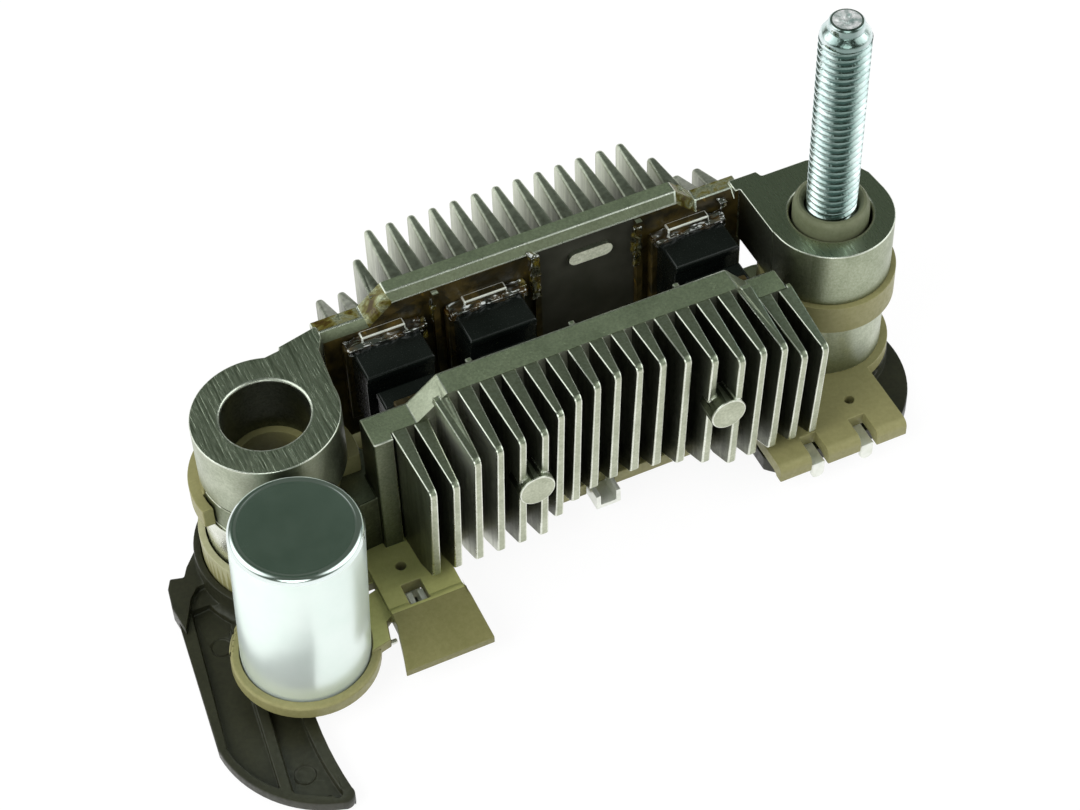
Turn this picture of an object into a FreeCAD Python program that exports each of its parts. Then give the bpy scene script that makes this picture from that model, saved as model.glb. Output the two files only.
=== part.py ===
# Alternator rectifier: two finned heat sinks with their diodes, a threaded output stud,
# a suppression capacitor and the plastic mouldings that carry and insulate them.
# Millimetres. X runs along the heat sinks, Y to the back, Z up. The origin is on the
# output stud's axis, at the machined top face of the two mounting bosses.
import FreeCAD, Part
import math
import os

V = FreeCAD.Vector
UP = V(0, 0, 1)

# Stack of each mounting point, from the machined top face down
boss_pitch = 94.2
left_x = -boss_pitch
boss_height = 10.7
ring_height = 5.5
eyelet_height = 11.3
plate_thickness = 2.5
base_height = 5.5
boss_bottom = -boss_height
eyelet_top = boss_bottom - ring_height
plate_top = eyelet_top - eyelet_height
plate_bottom = plate_top - plate_thickness
base_bottom = plate_bottom - base_height

# Mounting bosses of the rear heat sink
left_boss_r = 11.2
left_bore_r = 6.66
right_boss_r = 10.1
right_bore_r = 6.5
boss_rim_chamfer = 0.3
foot_step_x = 6.4
foot_step_rise = 0.9
foot_set_back = 1.2
foot_overlap = 1.4
left_foot_back = 8.9
left_foot_lap = (0.3, 0.5)
left_foot_flank = (0.6, 8.2)
right_foot_flare = (0.2, 0.4)
right_foot_back = ((-6.3, 0.0), (-5.9, 1.2), (2.0, 1.2), (5.4, 2.3))
right_foot_side = ((-1.9, 8.2), (-0.3, 5.0), (0.1, 0.8))

# Fins of both heat sinks
fin_count = 19
fin_root = 2.5
fin_tip = 1.15
fin_corner_r = 1.1
fin_sink = 0.9
fin_overlap = 0.1
fins_on_low_end = 2

# Rear heat sink
rear_wall_front = 10.6
rear_wall_thickness = 3.6
rear_wall_back = rear_wall_front + rear_wall_thickness
rear_wall_bottom = -24.5
rear_mid_top = 3.1
rear_end_top = -0.4
rear_chamfer = 1.3
rear_first_fin = left_x + 16.2
rear_last_fin = -13.2
rear_fin_pitch = (rear_last_fin - rear_first_fin) / (fin_count - 1)
rear_fin_reach = 12.2
rear_low_fin_reach = 6.4
rear_ramp_fin_reach = 8.2
rear_fin_fall = 0.5
rear_low_fin_fall = 2.4
rear_ramp_fin_drop = 1.2
rear_fin_bottom_rise = 2.0
rear_left_end = left_x + 12.5
rear_right_end = -9.8
rear_ramp_left = (left_x + 20.2, left_x + 24.3)
rear_ramp_right = (-21.2, -17.6)
rail_width = 1.0
rail_proud = 0.9
rail_below_edge = 0.4
rail_above_foot = 2.0
rail_offset = 0.6
pad_length = 7.4
pad_height = 2.4
pad_proud = 0.8
pad_z = -1.9
pad_shift = 0.4

# Front heat sink
front_wall_back = -4.4
front_wall_thickness = 4.6
front_wall_front = front_wall_back - front_wall_thickness
front_mid_top = 1.1
front_end_top = -2.9
front_edge_chamfer = 0.4
front_first_fin = left_x + 17.25
front_last_fin = -12.7
front_fin_pitch = (front_last_fin - front_first_fin) / (fin_count - 1)
front_fin_line = -22.1
front_fin_fall = 0.4
front_low_fin_fall = 0.6
front_ramp_fin_drop = 0.7
front_fin_draft = 2.0
front_fin_bottom = -25.4
front_fin_bevel = 4.5
relief_r = 25.5
relief_x = left_x / 2 + 3.7
relief_depth = 5.3
front_left_end = left_x + 12.7
front_right_end = -12.4
front_ramp_left = (left_x + 20.2, left_x + 25.2)
front_ramp_right = (-21.0, -17.6)
end_block_width = 3.2
end_block_depth = 1.4
peg_r = 2.9
peg_z = -11.0
peg_proud = 0.35
peg_depth = 4.0
peg_after_fins = (5, 14)
left_eyelet_r = 11.6
right_eyelet_r = 9.6
left_eyelet_bore_r = 6.85
web_back = 8.7
web_beside = 0.9
web_lap = (3.0, 5.0)
left_web_knee = (6.0, 0.9)
left_web_shoulder = (8.0, 8.0)
left_web_heel = 1.0
right_web_knee = (-4.0, 0.4)
right_web_shoulder = (-5.0, 8.0)
right_web_corner = -8.6
stud_seat_r = 4.6
apron_outer_r = 11.15
apron_inner_r = 9.9
apron_gap = 0.3
apron_from = 184.0
apron_to = 290.0

# Output stud, M8, with a hexagon head under the front heat sink
stud_r = 4.0
thread_pitch = 1.25
thread_land = 0.5
thread_depth = 0.55
shank_r = 3.6
stud_top = 39.0
dog_r = 2.75
dog_height = 2.6
dog_cone = 1.3
dog_chamfer = 0.4
head_across_flats = 13.0
head_height = 4.5
seat_below_top = 0.5

# Insulating bushes and rings
bush_clearance = 0.2
bush_r = right_bore_r - bush_clearance
bush_top = 2.8
bush_rim_r = 0.9
stud_clearance = 0.25
right_ring_r = 11.0
left_ring_hole_r = 5.6
left_tube_wall = 1.0
flange_r = 13.0
flange_height = 3.8
flange_front = -3.3
apron_clearance = 0.2

# Terminal plate
collar_top = -24.0
collar_clearance = 0.25
collar_r = 12.95
plate_right_ring_r = 10.9
middle_front = -12.5
middle_back = 9.4
middle_span = (left_x + 5.0, -5.0)
middle_lap = (-9.0, -8.0)
right_lap = -6.0
collar_flat = left_x + 9.0
left_plate_side = left_x + 20.7
left_plate_inner = left_x + 8.7
left_plate_front = -22.4
flap_reach = 9.2
flap_drop = 2.2
flap_thickness = 1.4
flap_side = left_x + 21.5
flap_inner = left_x + 6.8
crest_r = 1.5
crest_rise = 0.5
flap_flare = 0.3
flap_notch = (1.0, 3.0, 2.0)
plate_hole_r = 0.8
left_hole = (left_x + 13.5, -14.4)
right_hole = (-3.2, -15.2)
pocket_x = (left_x + 12.0, left_x + 15.2)
pocket_y = (-22.0, -17.8)
right_plate_side = 2.9
right_plate_inner = -19.8
right_plate_front = -23.3
lip_r = 1.4
lip_thickness = 1.6
lip_drop = 1.7
notch_width = 2.9
notch_depth = 4.6
notch_sides = (-11.3, -2.5)
lead_slot = 0.3

# Capacitor, leaning a little in its ring
can_r = 9.8
can_height = 29.6
can_rim_r = 1.0
can_foot = (left_x - 5.0, -21.6)
can_foot_z = -29.3
can_lean = 2.8
can_wall = 0.8
can_clearance = 0.15
cup_r = 11.3
cup_rim = 1.1
cup_floor = 1.2
seal_height = 2.6
seal_r = can_r - can_wall
lead_r = 0.4
lead_spacing = 5.0
lead_out = 13.6
lead_clearance = 0.15
cup_edge_r = 0.5
cup_neck = ((7.7, -5.4), (12.0, -4.4), (12.8, -1.0), (14.7, 0.4), (14.7, 5.6), (9.2, 4.1))
saddle_x = (left_x - 8.0, left_x + 9.0)
saddle_back = (-9.0, -8.0)
saddle_front = can_foot[1] + 6.6

# Base moulding with its curved arm
base_left_r = 14.3
base_collar_rise = 1.1
base_bore_r = 6.7
right_disc = (-6.0, -5.0)
right_disc_r = 17.3
right_disc_front = -18.5
right_disc_left = -19.0
right_seat_r = 11.0
web_thickness = 3.0
arm_top = -32.3
arm_thickness = 2.0
arm_depth = 1.3
arm_bottom = arm_top - arm_thickness
arm_floor = arm_top - arm_depth
arm_rim = 1.9
arm_rib = 1.7
beam_back = 1.0
beam_front = -4.0
beam_top_gap = 1.0
beam_ends = (left_x + 8.0, -6.0)
beam_lift = 0.6
collar_side = left_x - 4.0
collar_front = -9.0
stud_relief = 0.5
head_recess = 0.2
# The arm's corners from the left axis, each with the way it moves for every 1 mm of rim
arm_corners = {"start": ((-19.6, -1.5), (1.0, -1.85)), "knee": ((-22.6, -30.5), (0.65, 0.0)),
               "heel": ((-19.7, -38.8), (0.55, 0.45)), "toe": ((-9.4, -46.6), (-0.4, 1.0)),
               "bend": ((-7.4, -46.2), (-0.7, 0.7)), "tip": ((-7.2, -44.6), (-0.9, 0.2)),
               "waist": ((-7.7, -35.0), (-1.0, 0.0)), "top": ((-3.3, -13.0), (-1.0, 0.0)),
               "shoulder": ((-12.0, -1.5), (0.0, -1.6))}
wing_edge = ((-9.0, 9.5), (-11.3, 7.6), (-13.2, 5.0), (-15.7, 2.5), (-16.7, 0.8), (-18.8, 1.4),
             (-19.7, -0.3), (-20.3, -4.0), (-19.8, -8.9), (-17.0, -3.5), (-15.5, -1.9), (-9.0, -1.0))
rib_line = ((left_x - 13.25, -10.0), (left_x - 17.85, -50.0))
seat_fillet = 1.2
ejector_r = 1.6
ejector_depth = 0.2
ejector_marks = ((left_x - 15.6, -12.3), (left_x - 12.4, -39.0))
wing_top = -31.0
base_clearance = 0.2
head_clearance = 0.4
strip_gap = 0.3

# Diodes: a moulded body on a soldered spreader plate, with one flat lead each
diode_x = (left_x + 22.4, left_x + 39.3, -20.1)
diode_names = ("left", "middle", "right")
diode_width = 11.1
diode_top = -3.2
diode_height = 12.8
rear_diode_front = 2.3
diode_lip = 1.3
diode_step = 0.5
diode_edge = 0.3
spreader_thickness = 1.6
spreader_width = 13.0
spreader_above = 1.4
spreader_tab_width = 7.2
spreader_drop = 3.0
front_diode_width = 9.6
front_diode_depth = 3.9
front_diode_top = -5.2
lead_width = 2.0
lead_thickness = 0.7
rear_lead_in = 2.6
front_lead_in = 1.6
front_spreader_extra = 1.0
strip_thickness = 0.8

# Terminals that the lead frame strips end in
strip_width = 3.0
strip_back = 7.4
tab_width = 2.2
tab_drop = 3.4
crimp_x = left_x / 2 + 1.1
crimp_y = (-15.4, -11.4)
crimp_height = 3.0
crimp_width = 4.2
pocket_strip_width = 0.9
blade_offset = 0.9
blade_length = 2.5
blade_sink = 0.4
blade_below_top = 0.6
tab_set_back = 0.4
tab_corner_gap = 0.1
right_run_back = -9.4

os.makedirs("parts", exist_ok=True)


def save(name, shape):
    shape.exportStep("parts/" + name + ".step")


def block(x0, x1, y0, y1, z0, z1):
    return Part.makeBox(x1 - x0, y1 - y0, z1 - z0, V(x0, y0, z0))


def disc(r, z0, z1, x=0.0, y=0.0):
    return Part.makeCylinder(r, z1 - z0, V(x, y, z0), UP)


def plan(points, z0, z1):
    """A prism whose outline is given in plan."""
    corners = [V(x, y, z0) for x, y in points]
    wire = Part.makePolygon(corners + corners[:1])
    return Part.Face(wire).extrude(V(0, 0, z1 - z0))


def elevation(points, y0, y1):
    """A prism whose outline is given as x, z and that runs along Y."""
    corners = [V(x, y0, z) for x, z in points]
    wire = Part.makePolygon(corners + corners[:1])
    return Part.Face(wire).extrude(V(0, y1 - y0, 0))


def section(points, x0, x1):
    """A prism whose outline is given as y, z and that runs along X."""
    corners = [V(x0, y, z) for y, z in points]
    wire = Part.makePolygon(corners + corners[:1])
    return Part.Face(wire).extrude(V(x1 - x0, 0, 0))


def sector(r, start, end, z0, z1, x=0.0, y=0.0):
    """A slice of a cylinder between two angles in degrees."""
    slice_ = Part.makeCylinder(r, z1 - z0, V(x, y, z0), UP, end - start)
    slice_.rotate(V(x, y, 0), UP, start)
    return slice_


def joined(pieces):
    whole = pieces[0].multiFuse(pieces[1:])
    return whole.removeSplitter()


def wall(x0, x1, y0, y1, bottom, top, end_top, ramp_left, ramp_right):
    """A heat sink's wall: high in the middle, with ramps down to its two ends."""
    outline = [(x0, bottom), (x1, bottom), (x1, end_top), (ramp_right[1], end_top),
               (ramp_right[0], top), (ramp_left[1], top), (ramp_left[0], end_top), (x0, end_top)]
    return elevation(outline, y0, y1)


def top_edges(shape, y, above):
    """The edges of a wall's top that lie in the plane of one of its faces."""
    chosen = []
    for edge in shape.Edges:
        ends = [vertex.Point for vertex in edge.Vertexes]
        if all(abs(p.y - y) < 1e-6 and p.z > above for p in ends):
            chosen.append(edge)
    return chosen


def fin(x, profile, root_y, tip_y):
    """One cast fin: a rounded side profile, thinner towards its tip."""
    blank = section(profile, x - fin_root / 2, x + fin_root / 2)
    corners = []
    for edge in blank.Edges:
        ends = [vertex.Point for vertex in edge.Vertexes]
        along = abs(ends[0].x - ends[1].x) > fin_root / 2
        if along and abs(ends[0].y - root_y) > abs(tip_y - root_y) / 2:
            corners.append(edge)
    blank = blank.makeFillet(fin_corner_r, corners)
    low = min(z for y, z in profile) - 1
    high = max(z for y, z in profile) + 1
    taper = plan([(x - fin_root / 2, root_y), (x + fin_root / 2, root_y),
                  (x + fin_tip / 2, tip_y), (x - fin_tip / 2, tip_y)], low, high)
    return blank.common(taper)


def fin_kind(index):
    """low on the two ends, ramp next to them, and tall in the middle"""
    from_end = min(index, fin_count - 1 - index)
    if from_end < fins_on_low_end:
        return "low"
    if from_end == fins_on_low_end:
        return "ramp"
    return "tall"


def rear_fins():
    fins = []
    reach = {"low": rear_low_fin_reach, "ramp": rear_ramp_fin_reach, "tall": rear_fin_reach}
    fall = {"low": rear_low_fin_fall, "ramp": rear_fin_fall, "tall": rear_fin_fall}
    top = {"low": rear_end_top, "tall": rear_mid_top}
    top["ramp"] = rear_mid_top - rear_ramp_fin_drop
    for index in range(fin_count):
        kind = fin_kind(index)
        x = rear_first_fin + index * rear_fin_pitch
        root = rear_wall_back - fin_sink
        tip = rear_wall_back + reach[kind]
        crown = top[kind] - fin_overlap
        profile = [(root, rear_wall_bottom), (root, crown), (rear_wall_back, crown),
                   (tip, top[kind] - fall[kind]), (tip, rear_wall_bottom + rear_fin_bottom_rise)]
        fins.append(fin(x, profile, root, tip))
    return fins


def relief(x):
    """How far a front fin's tip is set back by the round clearance in their middle."""
    across = abs(x - relief_x)
    centre = relief_depth - relief_r
    if across >= relief_r:
        return 0.0
    return max(0.0, centre + math.sqrt(relief_r ** 2 - across ** 2))


def front_fins():
    fins = []
    top = {"low": front_end_top, "ramp": front_mid_top - front_ramp_fin_drop, "tall": front_mid_top}
    for index in range(fin_count):
        kind = fin_kind(index)
        x = front_first_fin + index * front_fin_pitch
        root = front_wall_front + fin_sink
        tip = front_fin_line + relief(x)
        fall = front_low_fin_fall if kind == "low" else front_fin_fall
        heel = tip + front_fin_draft
        crown = top[kind] - fin_overlap
        foot = plate_top + fin_overlap
        profile = [(root, foot), (root, crown), (front_wall_front, crown), (tip, top[kind] - fall),
                   (heel, front_fin_bottom), (heel + front_fin_bevel, foot)]
        fins.append(fin(x, profile, root, tip))
    return fins


def left_foot():
    """The casting between the left boss and the rear wall, in line with the boss's side."""
    side = left_boss_r - fin_overlap
    step_front = rear_wall_front + foot_step_rise
    inner = rear_left_end + left_foot_lap[1]
    outline = [(left_x - foot_step_x, left_foot_back),
               (left_x + foot_step_x, rear_wall_front + left_foot_lap[0]),
               (left_x + foot_step_x, step_front), (inner, rear_wall_back - foot_set_back),
               (inner, rear_wall_front), (left_x + left_boss_r + left_foot_flank[0], left_foot_flank[1]),
               (left_x + side, 0.0), (left_x, 0.0)]
    return plan(outline, boss_bottom, 0.0)


def right_foot():
    """The casting between the right boss and the rear wall, with its stepped back edge."""
    side = right_boss_r - fin_overlap
    back = rear_wall_back - foot_set_back
    inner = rear_right_end - foot_overlap
    outline = [(-side - right_foot_flare[0], 0.0), (-side - right_foot_flare[1], rear_wall_front),
               (inner, rear_wall_front), (inner, back)]
    outline += [(x, back - set_in) for x, set_in in right_foot_back]
    outline += [(side + out, y) for out, y in right_foot_side]
    outline.append((side, 0.0))
    return plan(outline, boss_bottom, 0.0)


def rear_heat_sink():
    """Aluminium casting: wall, fins and the two bosses that bolt to the alternator."""
    body = wall(rear_left_end, rear_right_end, rear_wall_front, rear_wall_back, rear_wall_bottom,
                rear_mid_top, rear_end_top, rear_ramp_left, rear_ramp_right)
    body = body.makeChamfer(rear_chamfer, top_edges(body, rear_wall_front, rear_end_top - 0.1))
    pieces = [body] + rear_fins()
    pieces += [disc(left_boss_r, boss_bottom, 0.0, left_x), left_foot()]
    pieces += [disc(right_boss_r, boss_bottom, 0.0), right_foot()]
    for x in pocket_edges():
        top = rear_mid_top - rear_chamfer - rail_below_edge
        pieces.append(block(x - rail_width / 2, x + rail_width / 2, rear_wall_front - rail_proud,
                            rear_wall_front + 1, rear_wall_bottom + rail_above_foot, top))
    pieces.append(cast_pad())
    body = joined(pieces)
    body = body.cut(disc(left_bore_r, boss_bottom - 1, 1, left_x))
    body = body.cut(disc(right_bore_r, boss_bottom - 1, 1))
    rims = [edge for edge in body.Edges if is_rim(edge)]
    return body.makeChamfer(boss_rim_chamfer, rims)


def is_rim(edge):
    """True for the two bores' upper edges."""
    circle = edge.Curve
    if not isinstance(circle, Part.Circle):
        return False
    radius = circle.Radius
    at_top = abs(circle.Center.z) < 1e-6
    return at_top and (abs(radius - left_bore_r) < 1e-6 or abs(radius - right_bore_r) < 1e-6)


def pocket_edges():
    """The rails stand midway between the diode places, the empty one included."""
    pitch = diode_x[1] - diode_x[0]
    first = (diode_x[0] + diode_x[1]) / 2
    first += rail_offset
    return [first, first + pitch, first + 2 * pitch + rail_offset]


def cast_pad():
    """A long rounded pad on the wall where no diode is fitted."""
    edges = pocket_edges()
    middle = (edges[1] + edges[2]) / 2 + pad_shift
    half = (pad_length - pad_height) / 2
    back = rear_wall_front + 1
    front = rear_wall_front - pad_proud
    bar = block(middle - half, middle + half, front, back, pad_z - pad_height / 2, pad_z + pad_height / 2)
    ends = []
    for x in (middle - half, middle + half):
        ends.append(Part.makeCylinder(pad_height / 2, back - front, V(x, front, pad_z), V(0, 1, 0)))
    return bar.fuse(ends[0]).fuse(ends[1])


def left_eyelet_arm(gap):
    """The web from the left eyelet to the front wall, or with a gap the room around it."""
    outline = [(front_left_end + web_lap[0], front_wall_front - gap),
               (left_x + left_web_knee[0] - gap, front_wall_front - left_web_knee[1] - gap), (left_x, 0.0),
               (left_x + left_web_shoulder[0], left_web_shoulder[1] + gap),
               (front_left_end + web_lap[1], front_wall_back + left_web_heel + gap)]
    return plan(outline, plate_top, eyelet_top)


def right_eyelet_arm():
    """The web from the front wall's right end to the eyelet under the stud."""
    side = front_right_end - web_beside
    outline = [(front_right_end - web_lap[0], front_wall_front),
               (right_web_knee[0], front_wall_front + right_web_knee[1]), (0.0, 0.0), right_web_shoulder,
               (right_web_corner, web_back), (side, web_back), (side, 0.0),
               (front_right_end - web_lap[1], front_wall_back)]
    return plan(outline, plate_top, eyelet_top)


def front_heat_sink():
    """Aluminium casting: wall, fins and the two eyelets under the insulating rings."""
    body = wall(front_left_end, front_right_end, front_wall_front, front_wall_back, plate_top,
                front_mid_top, front_end_top, front_ramp_left, front_ramp_right)
    body = body.makeChamfer(front_edge_chamfer, top_edges(body, front_wall_back, front_end_top - 0.1))
    pieces = [body] + front_fins()
    pieces.append(block(front_left_end, front_left_end + end_block_width,
                        front_wall_front - end_block_depth, front_wall_front + 1,
                        plate_top, front_end_top))
    pieces.append(disc(left_eyelet_r, plate_top, eyelet_top, left_x))
    pieces.append(disc(right_eyelet_r, plate_top, eyelet_top))
    pieces.append(left_eyelet_arm(0.0))
    pieces.append(right_eyelet_arm())
    for x in pocket_edges():
        x -= rail_offset
        pieces.append(block(x - rail_width / 2, x + rail_width / 2, front_wall_back - 1,
                            front_wall_back + rail_proud, plate_top + rail_above_foot,
                            front_mid_top - rail_below_edge))
    apron = sector(apron_outer_r, apron_from, apron_to, eyelet_top - 1, boss_bottom - apron_gap, left_x)
    apron = apron.cut(disc(apron_inner_r, eyelet_top - 2, boss_bottom, left_x))
    pieces.append(apron)
    for after in peg_after_fins:
        x = front_first_fin + (after - 0.5) * front_fin_pitch
        start = V(x, front_fin_line + relief(x) + peg_depth, peg_z)
        pieces.append(Part.makeCylinder(peg_r, peg_depth + peg_proud, start, V(0, -1, 0)))
    body = joined(pieces)
    body = body.cut(disc(left_eyelet_bore_r, plate_top - 1, 0.0, left_x))
    body = body.cut(disc(stud_seat_r, plate_top - 1, 0.0))
    return body


def stud_thread(low, high):
    """The thread as a row of rings, one to each turn, with a flat land on every crest."""
    flank = (thread_pitch - thread_land) / 2
    turns = int((high - low) / thread_pitch)
    outline = [(0.0, low), (stud_r, low)]
    for turn in range(turns):
        start = low + turn * thread_pitch + thread_land
        outline += [(stud_r, start), (stud_r - thread_depth, start + flank), (stud_r, start + 2 * flank)]
    outline += [(stud_r, high), (0.0, high)]
    points = [V(x, 0.0, z) for x, z in outline]
    face = Part.Face(Part.makePolygon(points + [points[0]]))
    return face.revolve(V(0, 0, 0), UP, 360)


def battery_stud():
    """Plated steel stud: head, pressed seat, plain shank in the bush, thread and dog point."""
    thread_end = stud_top - dog_height - dog_cone
    shank = disc(shank_r, plate_top, bush_top)
    thread = stud_thread(bush_top, thread_end)
    cone = Part.makeCone(stud_r, dog_r, dog_cone, V(0, 0, thread_end), UP)
    dog = disc(dog_r, stud_top - dog_height, stud_top)
    rim = [edge for edge in dog.Edges if edge.BoundBox.ZMin > stud_top - 0.1]
    dog = dog.makeChamfer(dog_chamfer, rim)
    seat = disc(stud_seat_r, plate_top, eyelet_top - seat_below_top)
    corner_r = head_across_flats / math.sqrt(3)
    corners = []
    for step in range(6):
        angle = math.radians(60 * step)
        corners.append((corner_r * math.cos(angle), corner_r * math.sin(angle)))
    head = plan(corners, plate_top - head_height, plate_top)
    return joined([shank, thread, cone, dog, seat, head])


def stud_bush():
    """Insulating bush between the stud and the rear heat sink."""
    outer = disc(bush_r, boss_bottom, bush_top)
    rim = [edge for edge in outer.Edges if edge.BoundBox.ZMin > bush_top - 0.1]
    outer = outer.makeFillet(bush_rim_r, rim)
    return outer.cut(disc(stud_r + stud_clearance, boss_bottom - 1, bush_top + 1))


def right_insulating_ring():
    ring = disc(right_ring_r, eyelet_top, boss_bottom)
    return ring.cut(disc(stud_r + stud_clearance, eyelet_top - 1, 0.0))


def left_insulating_bush():
    """Ring with a wide flange behind, and a tube that lines the eyelet below it."""
    ring = disc(apron_inner_r - apron_clearance, eyelet_top, boss_bottom, left_x)
    back_ring = disc(left_boss_r, eyelet_top, boss_bottom, left_x)
    flange = disc(flange_r, eyelet_top, eyelet_top + flange_height, left_x)
    behind = block(left_x - flange_r - 1, left_x + flange_r + 1, flange_front, flange_r + 1,
                   eyelet_top - 1, 0.0)
    keep_off = sector(apron_outer_r + apron_clearance, apron_from - 3, apron_to + 3,
                      eyelet_top - 1, 0.0, left_x)
    wide = back_ring.fuse(flange).common(behind).cut(keep_off)
    tube = disc(left_ring_hole_r + left_tube_wall, plate_top, eyelet_top, left_x)
    whole = joined([ring, wide, tube])
    return whole.cut(disc(left_ring_hole_r, plate_top - 1, 0.0, left_x))


def lean(shape):
    """Turns a shape from upright to the capacitor's own tilt, about its foot."""
    shape.rotate(V(can_foot[0], can_foot[1], can_foot_z), V(0, 1, 0), can_lean)
    return shape


def capacitor_can():
    """Drawn aluminium can with a rounded rim, open below where its seal sits."""
    can = disc(can_r, can_foot_z, can_foot_z + can_height, can_foot[0], can_foot[1])
    rim = [edge for edge in can.Edges if edge.BoundBox.ZMin > can_foot_z + can_height - 0.1]
    can = can.makeFillet(can_rim_r, rim)
    mouth = disc(seal_r, can_foot_z - 1, can_foot_z + seal_height, can_foot[0], can_foot[1])
    return lean(can.cut(mouth))


def capacitor_seal():
    seal = disc(seal_r, can_foot_z, can_foot_z + seal_height, can_foot[0], can_foot[1])
    for side in (-1, 1):
        y = can_foot[1] + side * lead_spacing / 2
        seal = seal.cut(disc(lead_r, can_foot_z - 1, can_foot_z + seal_height + 1, can_foot[0], y))
    return lean(seal)


def lead_path(side):
    """A wire from the seal down through the cup's floor and out under the plate."""
    y = can_foot[1] + side * lead_spacing / 2
    low = can_foot_z - cup_floor - lead_r - lead_clearance
    down = disc(lead_r, low, can_foot_z + seal_height, can_foot[0], y)
    out = Part.makeCylinder(lead_r, lead_out, V(can_foot[0], y, low), V(1, 0, 0))
    elbow = Part.makeSphere(lead_r, V(can_foot[0], y, low))
    return joined([down, out, elbow])


def capacitor_leads():
    return Part.makeCompound([lean(lead_path(side)) for side in (-1, 1)])


def cup(grown=0.0):
    """The terminal plate's ring that holds the capacitor's foot, or the room that it needs."""
    top = can_foot_z + cup_rim
    bottom = can_foot_z - cup_floor - grown
    body = disc(cup_r + grown, bottom, top, can_foot[0], can_foot[1])
    body = body.makeFillet(cup_edge_r, [edge for edge in body.Edges if edge.BoundBox.ZMin > top - 0.1])
    return body


def cup_cuts():
    """What the cup leaves free: the can itself and its two wires."""
    cuts = [disc(can_r + can_clearance, can_foot_z, can_foot_z + can_height, can_foot[0], can_foot[1])]
    for side in (-1, 1):
        y = can_foot[1] + side * lead_spacing / 2
        cuts.append(disc(lead_r + lead_clearance, can_foot_z - cup_floor - 1, can_foot_z + 1,
                         can_foot[0], y))
    return [lean(shape) for shape in cuts]


def flap():
    """The plate's front flap: a rounded crest and a thin apron that falls forward."""
    crest_start = V(left_plate_inner, left_plate_front, plate_top + crest_rise - crest_r)
    crest = Part.makeCylinder(crest_r, left_plate_side - left_plate_inner, crest_start, V(1, 0, 0))
    end_y = left_plate_front - flap_reach
    end_z = plate_top + crest_rise - flap_drop
    skirt = section([(left_plate_front, plate_top + crest_rise), (end_y, end_z),
                     (end_y, end_z - flap_thickness),
                     (left_plate_front, plate_top + crest_rise - 2 * crest_r)], flap_inner, flap_side)
    outline = plan([(left_plate_inner, left_plate_front + 1), (left_plate_side, left_plate_front + 1),
                    (left_plate_side + flap_flare, left_plate_front - crest_r), (flap_side, end_y - 1),
                    (flap_inner, end_y - 1), (flap_inner + flap_notch[0], end_y + flap_notch[1]),
                    (left_plate_inner, left_plate_front - flap_notch[2])],
                   end_z - 2 * flap_thickness, plate_top + 2 * crest_rise)
    return crest.fuse(skirt.common(outline))


def right_lip():
    """The rounded front lip of the plate's right end, turned down at its edge."""
    x0 = right_plate_inner
    x1 = right_plate_side
    inner = right_plate_front + lip_r
    bar = Part.makeCylinder(lip_r, x1 - x0, V(x0, inner, plate_top - lip_r), V(1, 0, 0))
    skirt = block(x0, x1, right_plate_front, right_plate_front + lip_thickness,
                  plate_top - lip_r - lip_drop, plate_top - lip_r)
    return bar.fuse(skirt)


def cup_webs():
    """The two webs that join the capacitor's ring to the plate and to the left ring."""
    neck = [(can_foot[0] + x, can_foot[1] + y) for x, y in cup_neck]
    saddle = [(saddle_x[0], saddle_back[0]), (saddle_x[1], saddle_back[1]),
              (saddle_x[1], saddle_front), (saddle_x[0], saddle_front)]
    top = can_foot_z + cup_rim
    return [plan(neck, plate_bottom, top), plan(saddle, plate_bottom, top)]


def lead_slots():
    """Slots that let every diode's lead down to the strips under the plate."""
    cuts = []
    for x in diode_x:
        for y in (rear_lead_y(), front_lead_y()):
            cuts.append(block(x - lead_width / 2 - lead_slot, x + lead_width / 2 + lead_slot,
                              y - lead_thickness / 2 - lead_slot, y + lead_thickness / 2 + lead_slot,
                              plate_bottom - 1, plate_top + 1))
    return cuts


def terminal_plate():
    """Tan moulding that carries the lead frame, both eyelets and the capacitor."""
    ring = disc(collar_r, plate_bottom, collar_top, left_x)
    pieces = [ring, disc(plate_right_ring_r, plate_bottom, plate_top)]
    pieces.append(block(middle_span[0], middle_span[1], middle_lap[0], middle_back,
                        plate_bottom, plate_top))
    pieces.append(block(left_plate_side - 1, right_plate_inner + 1, middle_front, middle_lap[1],
                        plate_bottom, plate_top))
    pieces.append(block(left_plate_inner, left_plate_side, left_plate_front, middle_lap[1],
                        plate_bottom, plate_top))
    pieces.append(block(right_plate_inner, right_plate_side, right_plate_front + lip_r, right_lap,
                        plate_bottom, plate_top))
    pieces += [flap(), right_lip()]
    pieces += cup_webs() + [lean(cup())]
    body = joined(pieces)
    cuts = [disc(left_eyelet_r + collar_clearance, plate_top, collar_top + 1, left_x)]
    cuts.append(disc(left_ring_hole_r, plate_bottom - 1, plate_top + 1, left_x))
    cuts.append(disc(head_across_flats / math.sqrt(3) + head_clearance, plate_bottom - 1, plate_top + 1))
    cuts.append(left_eyelet_arm(collar_clearance))
    cuts.append(block(collar_flat, front_left_end, -collar_r, collar_r, plate_top, collar_top + 1))
    cuts.append(disc(plate_hole_r, plate_bottom - 1, plate_top + 1, left_hole[0], left_hole[1]))
    cuts.append(disc(plate_hole_r, plate_bottom - 1, plate_top + 1, right_hole[0], right_hole[1]))
    cuts.append(block(pocket_x[0], pocket_x[1], pocket_y[0], pocket_y[1], plate_bottom - 1, plate_top + 1))
    for side in notch_sides:
        cuts.append(block(side - notch_width, side, right_plate_front - 1,
                          right_plate_front + notch_depth, plate_bottom - 5, plate_top + 1))
    side = crimp_width / 2 + strip_gap
    cuts.append(block(crimp_x - side, crimp_x + side, crimp_y[0], crimp_y[1] + strip_gap,
                      plate_bottom - 1, plate_top + 1))
    cuts += lead_slots() + cup_cuts()
    for cut in cuts:
        body = body.cut(cut)
    return body


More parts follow.
